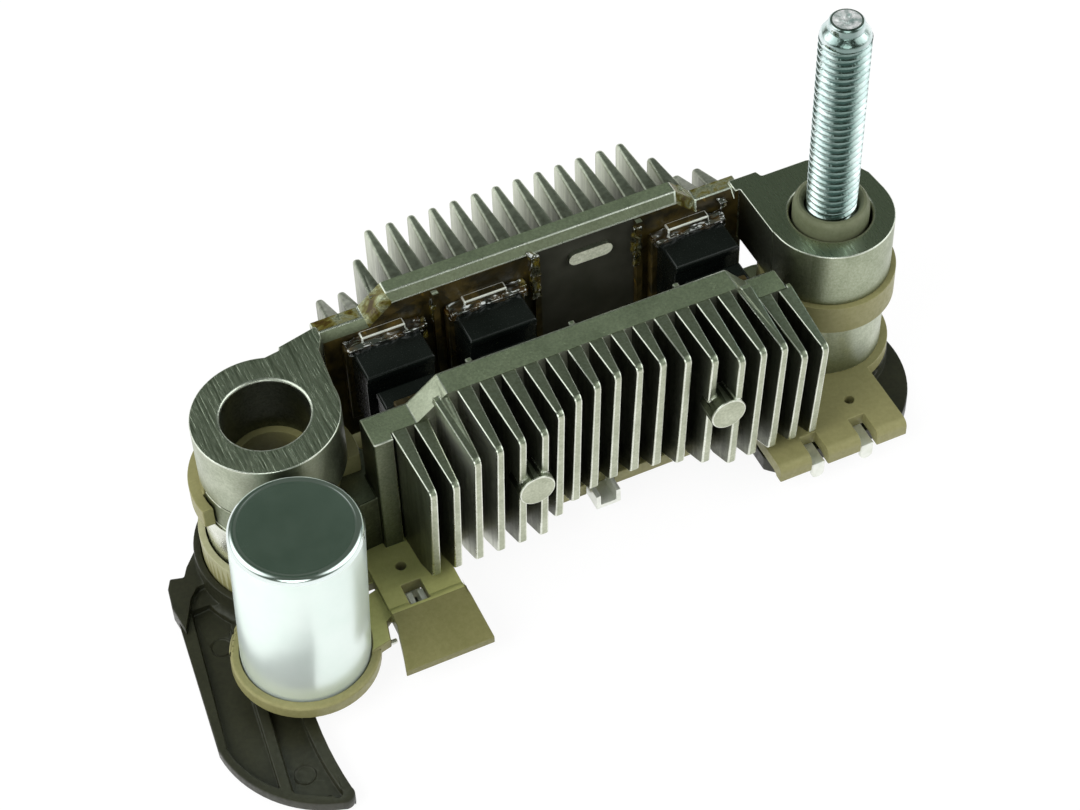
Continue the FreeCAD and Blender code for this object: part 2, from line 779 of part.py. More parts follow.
def arm_outline(inset, z):
    """The arm's edge in plan: a straight outer side, a round heel and a hollow inner side."""
    at = {}
    for name, (corner, move) in arm_corners.items():
        at[name] = V(left_x + corner[0] + inset * move[0], corner[1] + inset * move[1], z)
    edges = [Part.LineSegment(at["start"], at["knee"]), Part.Arc(at["knee"], at["heel"], at["toe"]),
             Part.Arc(at["toe"], at["bend"], at["tip"]), Part.Arc(at["tip"], at["waist"], at["top"]),
             Part.LineSegment(at["top"], at["shoulder"]), Part.LineSegment(at["shoulder"], at["start"])]
    return Part.Face(Part.Wire([edge.toShape() for edge in edges]))


def wing():
    """The flat lobe beside the left seat that the arm runs out of."""
    return plan([(left_x + x, y) for x, y in wing_edge], arm_bottom, wing_top)


def seat_collar():
    """The raised edge behind the left seat that centres the terminal plate's ring."""
    top = plate_bottom + base_collar_rise
    collar = disc(base_left_r, plate_bottom, top, left_x)
    collar = collar.cut(disc(collar_r + base_clearance, plate_bottom - 1, top + 1, left_x))
    behind = block(left_x - base_left_r - 1, collar_side, collar_front, base_left_r + 1,
                   plate_bottom - 1, top + 1)
    return collar.common(behind)


def right_base_disc():
    """The round foot under the right end, cut straight where the plate's lip stands."""
    foot = disc(right_disc_r, base_bottom, base_bottom + web_thickness, right_disc[0], right_disc[1])
    far = right_disc_r * 2
    return foot.common(block(right_disc_left, far, right_disc_front, far, base_bottom - 1, 0.0))


def base_moulding():
    """Dark moulding underneath: two seats, a beam between them, a wing and the arm."""
    left = disc(base_left_r, base_bottom, plate_bottom, left_x)
    seat = disc(right_seat_r, base_bottom, plate_bottom)
    beam = block(beam_ends[0], beam_ends[1], beam_front, beam_back, base_bottom + beam_lift,
                 plate_bottom - beam_top_gap)
    arm = arm_outline(0.0, arm_bottom).extrude(V(0, 0, arm_thickness))
    body = joined([left, seat_collar(), right_base_disc(), seat, beam, wing(), arm])
    body = body.cut(arm_pockets())
    strip_relief = block(pocket_x[0] - strip_gap, left_x + base_left_r + 1, -base_left_r, base_left_r,
                         plate_bottom - strip_thickness - strip_gap, plate_top)
    body = body.cut(strip_relief)
    strip_relief = block(right_disc_left, right_disc_r, -right_disc_r * 2, right_run_back + strip_gap,
                         plate_bottom - strip_thickness - strip_gap, plate_top)
    body = body.cut(strip_relief)
    body = body.cut(lean(cup(base_clearance)))
    body = body.cut(disc(base_bore_r, base_bottom - 1, 0.0, left_x))
    corner_r = head_across_flats / math.sqrt(3)
    body = body.cut(disc(corner_r + head_clearance, plate_top - head_height - head_recess, 0.0))
    body = body.cut(disc(stud_r + stud_relief, base_bottom - 1, 0.0))
    for x, y in ejector_marks:
        body = body.cut(disc(ejector_r, arm_floor - ejector_depth, arm_floor + 1, x, y))
    return body


def arm_pockets():
    """The two pockets in the arm, with the rib that is left between them."""
    pocket = arm_outline(arm_rim, arm_floor).extrude(V(0, 0, arm_depth + 1))
    pocket = pocket.cut(disc(base_left_r + seat_fillet, arm_floor - 1, 0.0, left_x))
    near = rib_line[0]
    far = rib_line[1]
    rib = plan([near, (near[0] + arm_rib, near[1]), (far[0] + arm_rib, far[1]), far],
               arm_floor - 1, arm_top)
    return pocket.cut(rib)


def rear_lead_y():
    return rear_wall_front - spreader_thickness - rear_lead_in


def front_lead_y():
    return front_wall_back + spreader_thickness + front_lead_in


def moulded_body(x, width, y0, y1, top, lip_side):
    """A diode's moulded body, with the lip at its top that overhangs its open side."""
    bottom = diode_top - diode_height
    if lip_side < 0:
        trunk = block(x - width / 2, x + width / 2, y0 + diode_step, y1, bottom, top)
    else:
        trunk = block(x - width / 2, x + width / 2, y0, y1 - diode_step, bottom, top)
    lip = block(x - width / 2, x + width / 2, y0, y1, top - diode_lip, top)
    body = trunk.fuse(lip).removeSplitter()
    edges = [edge for edge in body.Edges if edge.BoundBox.ZMin > top - 1e-4]
    return body.makeChamfer(diode_edge, edges)


def rear_diode(x):
    return moulded_body(x, diode_width, rear_diode_front, rear_wall_front - spreader_thickness,
                        diode_top, -1)


def front_diode(x):
    back = front_wall_back + spreader_thickness
    return moulded_body(x, front_diode_width, back, back + front_diode_depth, front_diode_top, 1)


def spreader(x, y0, bottom, top, width):
    """A plated copper plate soldered to the wall, with a narrower tab at its top."""
    plate = block(x - width / 2, x + width / 2, y0, y0 + spreader_thickness, bottom, top)
    tab = block(x - spreader_tab_width / 2, x + spreader_tab_width / 2, y0, y0 + spreader_thickness,
                top, top + spreader_above)
    return plate.fuse(tab).removeSplitter()


def rear_spreaders():
    y = rear_wall_front - spreader_thickness
    bottom = diode_top - diode_height - spreader_drop
    return Part.makeCompound([spreader(x, y, bottom, diode_top, spreader_width) for x in diode_x])


def front_spreaders():
    top = front_diode_top
    bottom = diode_top - diode_height
    width = front_diode_width + front_spreader_extra
    return Part.makeCompound([spreader(x, front_wall_back, bottom, top, width) for x in diode_x])


def flat_leads(y):
    """The flat lead of each diode in a row, from its body down to its strip."""
    leads = []
    for x in diode_x:
        leads.append(block(x - lead_width / 2, x + lead_width / 2, y - lead_thickness / 2,
                           y + lead_thickness / 2, plate_bottom, diode_top - diode_height))
    return Part.makeCompound(leads)


def strip_run(x0, x1, y0, y1):
    return block(x0, x1, y0, y1, plate_bottom - strip_thickness, plate_bottom)


def strip_root(x):
    """The part of a strip that both leads of one diode pair are welded to."""
    half = strip_width / 2
    return strip_run(x - half, x + half, front_lead_y() - half, strip_back)


def left_strip():
    """Strip of the left diode pair, with the blades that show in the plate's pocket."""
    x = (pocket_x[0] + pocket_x[1]) / 2
    half = strip_width / 2
    front = pocket_y[0] + strip_gap
    pieces = [strip_root(diode_x[0])]
    pieces.append(strip_run(x - half, diode_x[0] + half, front_lead_y() - half, front_lead_y() + half))
    pieces.append(strip_run(x - half, x + half, front, front_lead_y() + half))
    for side in (-1, 1):
        centre = x + side * blade_offset
        pieces.append(block(centre - pocket_strip_width / 2, centre + pocket_strip_width / 2, front,
                            front + blade_length, plate_bottom - blade_sink, plate_top - blade_below_top))
    return joined(pieces)


def middle_strip():
    """Strip of the middle diode pair, ending in a crimp for the stator wire."""
    half = strip_width / 2
    pieces = [strip_root(diode_x[1])]
    pieces.append(strip_run(diode_x[1] - half, crimp_x + half,
                            front_lead_y() - half, front_lead_y() + half))
    pieces.append(strip_run(crimp_x - half, crimp_x + half, crimp_y[0], front_lead_y() + half))
    floor = plate_bottom - strip_thickness
    for side in (-1, 1):
        outer = crimp_x + side * crimp_width / 2
        inner = outer - side * strip_thickness
        pieces.append(block(min(outer, inner), max(outer, inner), crimp_y[0], crimp_y[1],
                            floor, floor + crimp_height))
    pieces.append(block(crimp_x - crimp_width / 2, crimp_x + crimp_width / 2, crimp_y[0], crimp_y[1],
                        floor, plate_bottom))
    return joined(pieces)


def tab_places():
    return [side - notch_width / 2 for side in notch_sides]


def right_strip():
    """Strip of the right diode pair, with two tabs bent down through the notches."""
    half = strip_width / 2
    outer = tab_places()[1] + tab_width / 2
    front = right_plate_front + tab_set_back
    pieces = [strip_root(diode_x[2])]
    pieces.append(strip_run(diode_x[2] - half, diode_x[2] + half, right_run_back - strip_width,
                            front_lead_y() + half))
    pieces.append(strip_run(diode_x[2] - half, outer, right_run_back - strip_width, right_run_back))
    for x in tab_places():
        x0 = x - tab_width / 2
        x1 = x + tab_width / 2
        pieces.append(strip_run(x0, x1, front, right_run_back))
        tab = block(x0, x1, front, front + strip_thickness, plate_bottom - tab_drop, plate_bottom)
        low = [edge for edge in tab.Edges if edge.BoundBox.ZMax < plate_bottom - tab_drop + 0.1
               and edge.BoundBox.XLength < 0.1]
        pieces.append(tab.makeFillet(tab_width / 2 - tab_corner_gap, low))
    return joined(pieces)


save("rear_heat_sink", rear_heat_sink())
save("front_heat_sink", front_heat_sink())
save("battery_stud", battery_stud())
save("stud_bush", stud_bush())
save("right_insulating_ring", right_insulating_ring())
save("left_insulating_bush", left_insulating_bush())
save("terminal_plate", terminal_plate())
save("base_moulding", base_moulding())
save("capacitor_can", capacitor_can())
save("capacitor_seal", capacitor_seal())
save("capacitor_leads", capacitor_leads())
for name, x in zip(diode_names, diode_x):
    save("rear_diode_" + name, rear_diode(x))
    save("front_diode_" + name, front_diode(x))
save("rear_spreaders", rear_spreaders())
save("front_spreaders", front_spreaders())
save("rear_diode_leads", flat_leads(rear_lead_y()))
save("front_diode_leads", flat_leads(front_lead_y()))
save("left_strip", left_strip())
save("middle_strip", middle_strip())
save("right_strip", right_strip())
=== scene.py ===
# Alternator rectifier on a white table, lit and seen as a catalogue picture shows it.
# The castings, the mouldings and the plated parts keep the CAD shapes with softened edges;
# the stud's thread, the capacitor and the varnish are modelled here.
import bpy
import math
import random
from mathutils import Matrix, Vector


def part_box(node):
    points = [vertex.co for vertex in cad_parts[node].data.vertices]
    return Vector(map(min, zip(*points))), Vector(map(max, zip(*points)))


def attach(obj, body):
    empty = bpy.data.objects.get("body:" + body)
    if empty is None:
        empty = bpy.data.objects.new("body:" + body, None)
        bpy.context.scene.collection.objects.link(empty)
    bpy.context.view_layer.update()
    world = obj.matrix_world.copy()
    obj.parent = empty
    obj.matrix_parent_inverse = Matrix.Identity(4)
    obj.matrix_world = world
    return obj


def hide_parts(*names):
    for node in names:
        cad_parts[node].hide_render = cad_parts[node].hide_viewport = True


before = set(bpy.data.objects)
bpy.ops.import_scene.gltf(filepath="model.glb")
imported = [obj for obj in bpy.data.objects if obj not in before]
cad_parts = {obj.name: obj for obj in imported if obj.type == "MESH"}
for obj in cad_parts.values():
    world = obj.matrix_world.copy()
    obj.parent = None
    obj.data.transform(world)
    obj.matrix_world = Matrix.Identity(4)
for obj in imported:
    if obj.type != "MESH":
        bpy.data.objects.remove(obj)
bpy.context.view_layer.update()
MM = 0.001


# Camera
# A long lens above the front left corner, 50 degrees up, that leans a little to one side.
# Places are in millimetres, from the output stud's axis at the height of the boss faces.
def metres(place):
    """A place or a size in millimetres, in the scene's metres."""
    return [value * MM for value in place]


camera_place = (-150.9, -236.6, 280.2)
camera_turn = (40.50, 1.53, -24.79)
camera_data = bpy.data.cameras.new("camera")
camera_data.sensor_width = 36.0
camera_data.lens = 84.1
camera_data.clip_start = 0.01
camera = bpy.data.objects.new("camera", camera_data)
camera.location = metres(camera_place)
camera.rotation_euler = [math.radians(value) for value in camera_turn]
bpy.context.collection.objects.link(camera)
bpy.context.scene.camera = camera
bpy.context.scene.view_settings.view_transform = "Standard"


# Table and light
# A white sheet carries the object. Polished faces see a dim room with three bright windows,
# left, right and behind the camera, so level metal looks dark and its edges catch a line.
def add_node(tree, kind, sockets=None, **settings):
    """Adds a shader node. A socket given as a value is linked, and anything else is typed in."""
    node = tree.nodes.new(kind)
    for key, value in settings.items():
        setattr(node, key, value)
    for key, value in (sockets or {}).items():
        if isinstance(value, bpy.types.NodeSocket):
            tree.links.new(value, node.inputs[key])
        else:
            node.inputs[key].default_value = value
    return node


def math_node(tree, operation, first, second=0.0):
    return add_node(tree, "ShaderNodeMath", {0: first, 1: second}, operation=operation).outputs[0]


def ranged(tree, value, low, high, to_low=0.0, to_high=1.0, curve="LINEAR"):
    """A value carried from one range to another and held inside it."""
    sockets = {"Value": value, "From Min": low, "From Max": high, "To Min": to_low, "To Max": to_high}
    return add_node(tree, "ShaderNodeMapRange", sockets, interpolation_type=curve).outputs[0]


def colour(red, green, blue):
    return (red, green, blue, 1.0)


def blended(tree, share, first, second):
    """All of the first colour where the share is 0, and all of the second where it is 1."""
    return add_node(tree, "ShaderNodeMix", {0: share, 6: first, 7: second}, data_type="RGBA").outputs[2]


def ray_kinds(tree):
    """1 for camera rays, and 1 for the rays that show what metal and glass mirror."""
    path = add_node(tree, "ShaderNodeLightPath").outputs
    mirror_ray = math_node(tree, "MAXIMUM", path["Is Glossy Ray"], path["Is Transmission Ray"])
    return path["Is Camera Ray"], mirror_ray


white = colour(1.0, 1.0, 1.0)
table_side = 4000.0
table_grey = colour(0.86, 0.86, 0.86)
sheet_glow = 1.04
glow_share = 0.88
table_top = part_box("base_moulding")[0].z
bpy.ops.object.select_all(action="DESELECT")
bpy.ops.mesh.primitive_plane_add(size=table_side * MM, location=(0.0, 0.0, table_top))
table = bpy.context.active_object
table.name = "table"
paper = bpy.data.materials.new("white_paper")
paper.use_nodes = True
tree = paper.node_tree
tree.nodes.clear()
paint = add_node(tree, "ShaderNodeBsdfDiffuse", {"Color": table_grey})
glow = add_node(tree, "ShaderNodeEmission", {"Color": white, "Strength": sheet_glow})
camera_ray, mirror_ray = ray_kinds(tree)
seen_white = math_node(tree, "MAXIMUM", camera_ray, mirror_ray)
share = math_node(tree, "MULTIPLY", seen_white, glow_share)
both = add_node(tree, "ShaderNodeMixShader", {0: share, 1: paint.outputs[0], 2: glow.outputs[0]})
add_node(tree, "ShaderNodeOutputMaterial", {"Surface": both.outputs[0]})
table.data.materials.append(paper)

haze_top = 0.30
horizon = colour(0.90, 0.95, 0.91)
ceiling = colour(0.085, 0.104, 0.084)
room_light = colour(0.48, 0.48, 0.48)
window_tint = (0.94, 1.0, 0.97)
room = bpy.data.worlds.new("pale_room")
bpy.context.scene.world = room
room.use_nodes = True
tree = room.node_tree
tree.nodes.clear()
direction = add_node(tree, "ShaderNodeTexCoord").outputs["Generated"]
height = add_node(tree, "ShaderNodeSeparateXYZ", {0: direction}).outputs["Z"]
mirrored = blended(tree, ranged(tree, height, 0.0, haze_top, curve="SMOOTHSTEP"), horizon, ceiling)
windows = (((-0.695, 0.321, 0.643), 0.78, 0.94, 1.5),
           ((0.720, -0.260, 0.643), 0.80, 0.94, 1.5),
           ((-0.345, -0.745, 0.571), 0.92, 0.985, 2.4))
for towards, edge, heart, power in windows:
    facing = add_node(tree, "ShaderNodeVectorMath", {0: direction, 1: towards}, operation="DOT_PRODUCT")
    pane = ranged(tree, facing.outputs["Value"], edge, heart, curve="SMOOTHSTEP")
    mirrored = blended(tree, pane, mirrored, colour(*[power * part for part in window_tint]))
camera_ray, mirror_ray = ray_kinds(tree)
plain = blended(tree, camera_ray, room_light, white)
shown = blended(tree, mirror_ray, plain, mirrored)
sky = add_node(tree, "ShaderNodeBackground", {"Color": shown, "Strength": 1.0})
add_node(tree, "ShaderNodeOutputWorld", {"Surface": sky.outputs[0]})

object_middle = (-50.0, 0.0, -10.0)


def add_lamp(name, place, size, power):
    """A square soft lamp that faces the object's middle."""
    data = bpy.data.lights.new(name, "AREA")
    data.size = size * MM
    data.energy = power
    lamp = bpy.data.objects.new(name, data)
    lamp.location = metres(place)
    towards = Vector(metres(object_middle)) - lamp.location
    lamp.rotation_euler = towards.to_track_quat("-Z", "Y").to_euler()
    lamp.visible_glossy = False
    bpy.context.collection.objects.link(lamp)


add_lamp("left_lamp", (-520.0, -160.0, 420.0), 420.0, 3.2)
add_lamp("right_lamp", (420.0, -300.0, 320.0), 360.0, 1.5)
add_lamp("back_lamp", (60.0, 520.0, 300.0), 300.0, 1.1)


# Rear heat sink
# One aluminium casting: wall, fins and both mounting bosses. It is die cast, tumbled and then
# machined on the boss tops; the diode bays on its front were varnished after soldering.
def add_group(name, inputs, outputs):
    """A shader node group with named sockets, and its input and output nodes."""
    group = bpy.data.node_groups.new(name, "ShaderNodeTree")
    for label, value in inputs:
        socket = group.interface.new_socket(label, in_out="INPUT", socket_type="NodeSocketFloat")
        socket.default_value = value
    for label in outputs:
        group.interface.new_socket(label, in_out="OUTPUT", socket_type="NodeSocketFloat")
    return group, group.nodes.new("NodeGroupInput").outputs, group.nodes.new("NodeGroupOutput")


def place_group(tree, group, **values):
    """Places a node group in a material, with its own values."""
    node = tree.nodes.new("ShaderNodeGroup")
    node.node_tree = group
    for label, value in values.items():
        node.inputs[label.replace("_", " ")].default_value = value
    return node.outputs


skin_group, given, result = add_group("cast_skin", [("Grain Scale", 2600.0), ("Stain Scale", 300.0)],
                                      ["Speckle", "Stain", "Height"])
place = add_node(skin_group, "ShaderNodeTexCoord").outputs["Object"]
grain = add_node(skin_group, "ShaderNodeTexNoise",
                 {"Vector": place, "Scale": given["Grain Scale"], "Detail": 3.0, "Roughness": 0.65})
stain = add_node(skin_group, "ShaderNodeTexNoise",
                 {"Vector": place, "Scale": given["Stain Scale"], "Detail": 4.0, "Roughness": 0.6})
cells = add_node(skin_group, "ShaderNodeTexVoronoi", {"Vector": place, "Scale": given["Grain Scale"]})
pits = ranged(skin_group, cells.outputs["Distance"], 0.05, 0.35)
skin_group.links.new(ranged(skin_group, grain.outputs[0], 0.36, 0.66), result.inputs["Speckle"])
skin_group.links.new(ranged(skin_group, stain.outputs[0], 0.35, 0.68), result.inputs["Stain"])
rough_height = math_node(skin_group, "MULTIPLY", grain.outputs[0], pits)
skin_group.links.new(rough_height, result.inputs["Height"])

# Painted shade: ambient occlusion tells how closed in a point is, and darkens base colours in gaps and
# corners.
crevice_group, given, result = add_group("painted_crevice_shade", [("Reach", 0.004), ("Depth", 1.0)], ["Shade"])
closed = add_node(crevice_group, "ShaderNodeAmbientOcclusion", {"Distance": given["Reach"]}, samples=6)
shade = math_node(crevice_group, "SUBTRACT", 1.0, closed.outputs["AO"])
shade = math_node(crevice_group, "MULTIPLY", shade, given["Depth"])
crevice_group.links.new(math_node(crevice_group, "MINIMUM", shade, 1.0), result.inputs["Shade"])


def new_material(name, metallic=0.0, roughness=0.5, **sockets):
    """A material whose constant values sit on the shader's own sockets."""
    made = bpy.data.materials.new(name)
    made.use_nodes = True
    shader = made.node_tree.nodes["Principled BSDF"]
    shader.inputs["Metallic"].default_value = metallic
    shader.inputs["Roughness"].default_value = roughness
    for label, value in sockets.items():
        shader.inputs[label.replace("_", " ")].default_value = value
    return made, made.node_tree, shader


def add_bump(tree, shader, height, strength, depth):
    """Relief in the shader's normal, with its depth in millimetres."""
    sockets = {"Height": height, "Strength": strength, "Distance": depth * MM}
    tree.links.new(add_node(tree, "ShaderNodeBump", sockets).outputs[0], shader.inputs["Normal"])


skin_depth = 0.06
speckle_part = 0.6
polish_play = 0.06


def cast_metal(name, dark, light, deep, shade_depth, grain_bump, roughness, metallic=1.0):
    """Tumbled casting: speckled and stained in soft patches, with painted shade (the deep colour) down in
    its gaps.
    """
    made, tree, shader = new_material(name, metallic=metallic)
    skin = place_group(tree, skin_group, Grain_Scale=2400.0, Stain_Scale=260.0)
    painted_crevice_shade = place_group(tree, crevice_group, Reach=0.006, Depth=shade_depth)
    speckled = math_node(tree, "MULTIPLY", skin["Speckle"], speckle_part)
    stained = math_node(tree, "MULTIPLY", skin["Stain"], 1.0 - speckle_part)
    base = blended(tree, math_node(tree, "ADD", speckled, stained), dark, light)
    # Painted shade: the base colour goes towards the deep colour in gaps.
    base = blended(tree, painted_crevice_shade["Shade"], base, deep)
    tree.links.new(base, shader.inputs["Base Color"])
    polish = ranged(tree, skin["Stain"], 0.0, 1.0, roughness + polish_play, roughness - polish_play)
    tree.links.new(polish, shader.inputs["Roughness"])
    add_bump(tree, shader, skin["Height"], grain_bump, skin_depth)
    return made


cast_skin = cast_metal("cast_aluminium", colour(0.38, 0.42, 0.31), colour(0.58, 0.62, 0.49),
                       colour(0.060, 0.058, 0.036), 0.9, 0.5, 0.40)
level_tops = cast_metal("tumbled_tops", colour(0.38, 0.44, 0.29), colour(0.62, 0.70, 0.49),
                        colour(0.14, 0.14, 0.09), 0.5, 0.8, 0.46)
# Painted shade: a darker copy of the casting for the right boss's upright sides.
right_painted_shade = cast_metal("right_boss_painted_shade", colour(0.30, 0.34, 0.23), colour(0.46, 0.50, 0.37),
                        colour(0.060, 0.058, 0.036), 0.9, 0.5, 0.40)
ledge = cast_metal("ledge", colour(0.095, 0.115, 0.065), colour(0.165, 0.195, 0.120),
                   colour(0.060, 0.060, 0.034), 0.4, 0.5, 0.50, metallic=0.25)
# Painted shade: a dark copy of the casting for the upright walls round the left boss's bore.
bore_painted_shade = cast_metal("painted_shade_bore", colour(0.12, 0.13, 0.10), colour(0.26, 0.28, 0.22),
                        colour(0.02, 0.02, 0.015), 0.9, 0.4, 0.42)
# Rounded edges: paler from real wear, and painted lighter still as a highlight for the line they catch.
worn_and_highlit_edges = cast_metal("worn_and_highlit_edges", colour(0.66, 0.69, 0.58), colour(0.94, 0.96, 0.86),
                        colour(0.34, 0.35, 0.28), 0.4, 0.4, 0.28)


def painted_light_fin_metal(name, span, rise, rise_part, dark, pale):
    """Fin sides: painted shade near the wall, painted light towards their free ends, and streaked.
    The colour changes outwards over span and upwards over rise, both in millimetres."""
    made, tree, shader = new_material(name, metallic=1.0, roughness=0.42)
    place = add_node(tree, "ShaderNodeTexCoord").outputs["Object"]
    parts = add_node(tree, "ShaderNodeSeparateXYZ", {0: place}).outputs
    skin = place_group(tree, skin_group, Grain_Scale=2400.0, Stain_Scale=420.0)
    drawn_out = add_node(tree, "ShaderNodeMapping", {"Vector": place, "Scale": (1100.0, 1100.0, 90.0)})
    streak = add_node(tree, "ShaderNodeTexNoise",
                      {"Vector": drawn_out.outputs[0], "Scale": 1.0, "Detail": 3.0})
    # Painted light and shade: outward lightens the sides away from the wall, and upward changes them with
    # height by rise_part.
    outward = ranged(tree, parts["Y"], *metres(span))
    upward = ranged(tree, parts["Z"], *metres(rise))
    outward = math_node(tree, "MULTIPLY", math_node(tree, "POWER", outward, 1.6), 0.5)
    upward = math_node(tree, "MULTIPLY", math_node(tree, "POWER", upward, 2.0), rise_part)
    patches = math_node(tree, "MULTIPLY", skin["Stain"], 0.10)
    streaks = ranged(tree, streak.outputs[0], 0.35, 0.70, -0.08, 0.16)
    light = math_node(tree, "ADD", outward, upward)
    light = math_node(tree, "ADD", light, patches)
    light = math_node(tree, "ADD", light, streaks)
    grains = math_node(tree, "MULTIPLY", skin["Speckle"], 0.12)
    base = blended(tree, grains, blended(tree, light, dark, pale), colour(0.62, 0.66, 0.53))
    tree.links.new(base, shader.inputs["Base Color"])
    add_bump(tree, shader, skin["Height"], 0.5, skin_depth)
    return made


rear_fin_sides = painted_light_fin_metal("rear_fin_sides", (12.0, 25.0), (-14.0, 2.0), 0.26,
                           colour(0.050, 0.051, 0.031), colour(0.76, 0.80, 0.66))


def machined_metal(name, turn, stretch, dark, light, relief):
    """A milled face: fine parallel tool marks that cross the metal at one angle."""
    made, tree, shader = new_material(name, metallic=1.0)
    place = add_node(tree, "ShaderNodeTexCoord").outputs["Object"]
    turned = add_node(tree, "ShaderNodeMapping",
                      {"Vector": place, "Rotation": (0.0, 0.0, math.radians(turn)), "Scale": stretch})
    marks = add_node(tree, "ShaderNodeTexNoise",
                     {"Vector": turned.outputs[0], "Scale": 1.0, "Detail": 3.0, "Roughness": 0.7})
    strength = ranged(tree, marks.outputs[0], 0.38, 0.64)
    tree.links.new(blended(tree, strength, dark, light), shader.inputs["Base Color"])
    tree.links.new(ranged(tree, strength, 0.0, 1.0, 0.36, 0.24), shader.inputs["Roughness"])
    add_bump(tree, shader, strength, relief, 0.04)
    return made


milled_left = machined_metal("milled_left_boss", 38.0, (2000.0, 120.0, 400.0),
                             colour(0.28, 0.32, 0.23), colour(0.84, 0.90, 0.72), 0.8)
milled_right = machined_metal("milled_right_boss", 64.0, (2400.0, 260.0, 400.0),
                              colour(0.38, 0.43, 0.31), colour(0.54, 0.60, 0.45), 0.15)


def pooled_noise(tree, place, scale, detail=5.0, roughness=0.62, distortion=0.6):
    """Patches with wandering edges, as a liquid leaves them when it dries."""
    sockets = {"Vector": place, "Scale": scale, "Detail": detail, "Roughness": roughness,
               "Distortion": distortion}
    return add_node(tree, "ShaderNodeTexNoise", sockets).outputs[0]


bay_varnish, tree, shader = new_material("bay_varnish", roughness=0.34, Specular_IOR_Level=0.3,
                                         Coat_Weight=0.12, Coat_Roughness=0.12)
place = add_node(tree, "ShaderNodeTexCoord").outputs["Object"]
pool = pooled_noise(tree, place, 210.0)
spots = add_node(tree, "ShaderNodeTexNoise", {"Vector": place, "Scale": 520.0, "Detail": 2.0})
base = blended(tree, ranged(tree, pool, 0.42, 0.62), colour(0.016, 0.013, 0.005),
               colour(0.060, 0.043, 0.012))
base = blended(tree, ranged(tree, spots.outputs[0], 0.66, 0.76), base, colour(0.16, 0.10, 0.015))
tree.links.new(base, shader.inputs["Base Color"])
add_bump(tree, shader, pool, 0.5, 0.6)

olive_wall, tree, shader = new_material("olive_wall")
place = add_node(tree, "ShaderNodeTexCoord").outputs["Object"]
skin = place_group(tree, skin_group, Grain_Scale=2400.0, Stain_Scale=260.0)
streak = pooled_noise(tree, place, 420.0, detail=4.0, roughness=0.6, distortion=0.8)
covered = ranged(tree, streak, 0.34, 0.56)
base = blended(tree, skin["Speckle"], colour(0.34, 0.37, 0.24), colour(0.54, 0.58, 0.42))
base = blended(tree, covered, base, colour(0.130, 0.118, 0.022))
base = blended(tree, ranged(tree, streak, 0.54, 0.66), base, colour(0.050, 0.030, 0.005))
tree.links.new(base, shader.inputs["Base Color"])
tree.links.new(ranged(tree, covered, 0.0, 1.0, 0.38, 0.18), shader.inputs["Roughness"])
tree.links.new(ranged(tree, covered, 0.0, 1.0, 1.0, 0.2), shader.inputs["Metallic"])
add_bump(tree, shader, covered, 0.4, 0.3)

bay_left = -45.4
bay_right = -28.9
varnish_edge = 0.3
bare_bay, tree, shader = new_material("bare_bay", roughness=0.36, Specular_IOR_Level=0.3)
skin = place_group(tree, skin_group, Grain_Scale=1800.0, Stain_Scale=90.0)
bare = blended(tree, skin["Stain"], colour(0.029, 0.030, 0.022), colour(0.057, 0.057, 0.045))
place = add_node(tree, "ShaderNodeTexCoord").outputs["Object"]
across = add_node(tree, "ShaderNodeSeparateXYZ", {0: place}).outputs["X"]
brown = blended(tree, ranged(tree, pooled_noise(tree, place, 230.0), 0.40, 0.62),
                colour(0.011, 0.009, 0.003), colour(0.062, 0.044, 0.010))
left_of_bay = ranged(tree, across, (bay_left + varnish_edge) * MM, (bay_left - varnish_edge) * MM)
right_of_bay = ranged(tree, across, (bay_right - varnish_edge) * MM, (bay_right + varnish_edge) * MM)
brushed = math_node(tree, "ADD", left_of_bay, right_of_bay)
tree.links.new(blended(tree, brushed, bare, brown), shader.inputs["Base Color"])
add_bump(tree, shader, skin["Height"], 0.2, 0.05)

oval_pad, tree, shader = new_material("oval_pad", metallic=0.15, roughness=0.42)
skin = place_group(tree, skin_group, Grain_Scale=2200.0, Stain_Scale=400.0)
tree.links.new(blended(tree, skin["Speckle"], colour(0.62, 0.66, 0.50), colour(0.90, 0.93, 0.76)),
               shader.inputs["Base Color"])
add_bump(tree, shader, skin["Height"], 0.6, skin_depth)


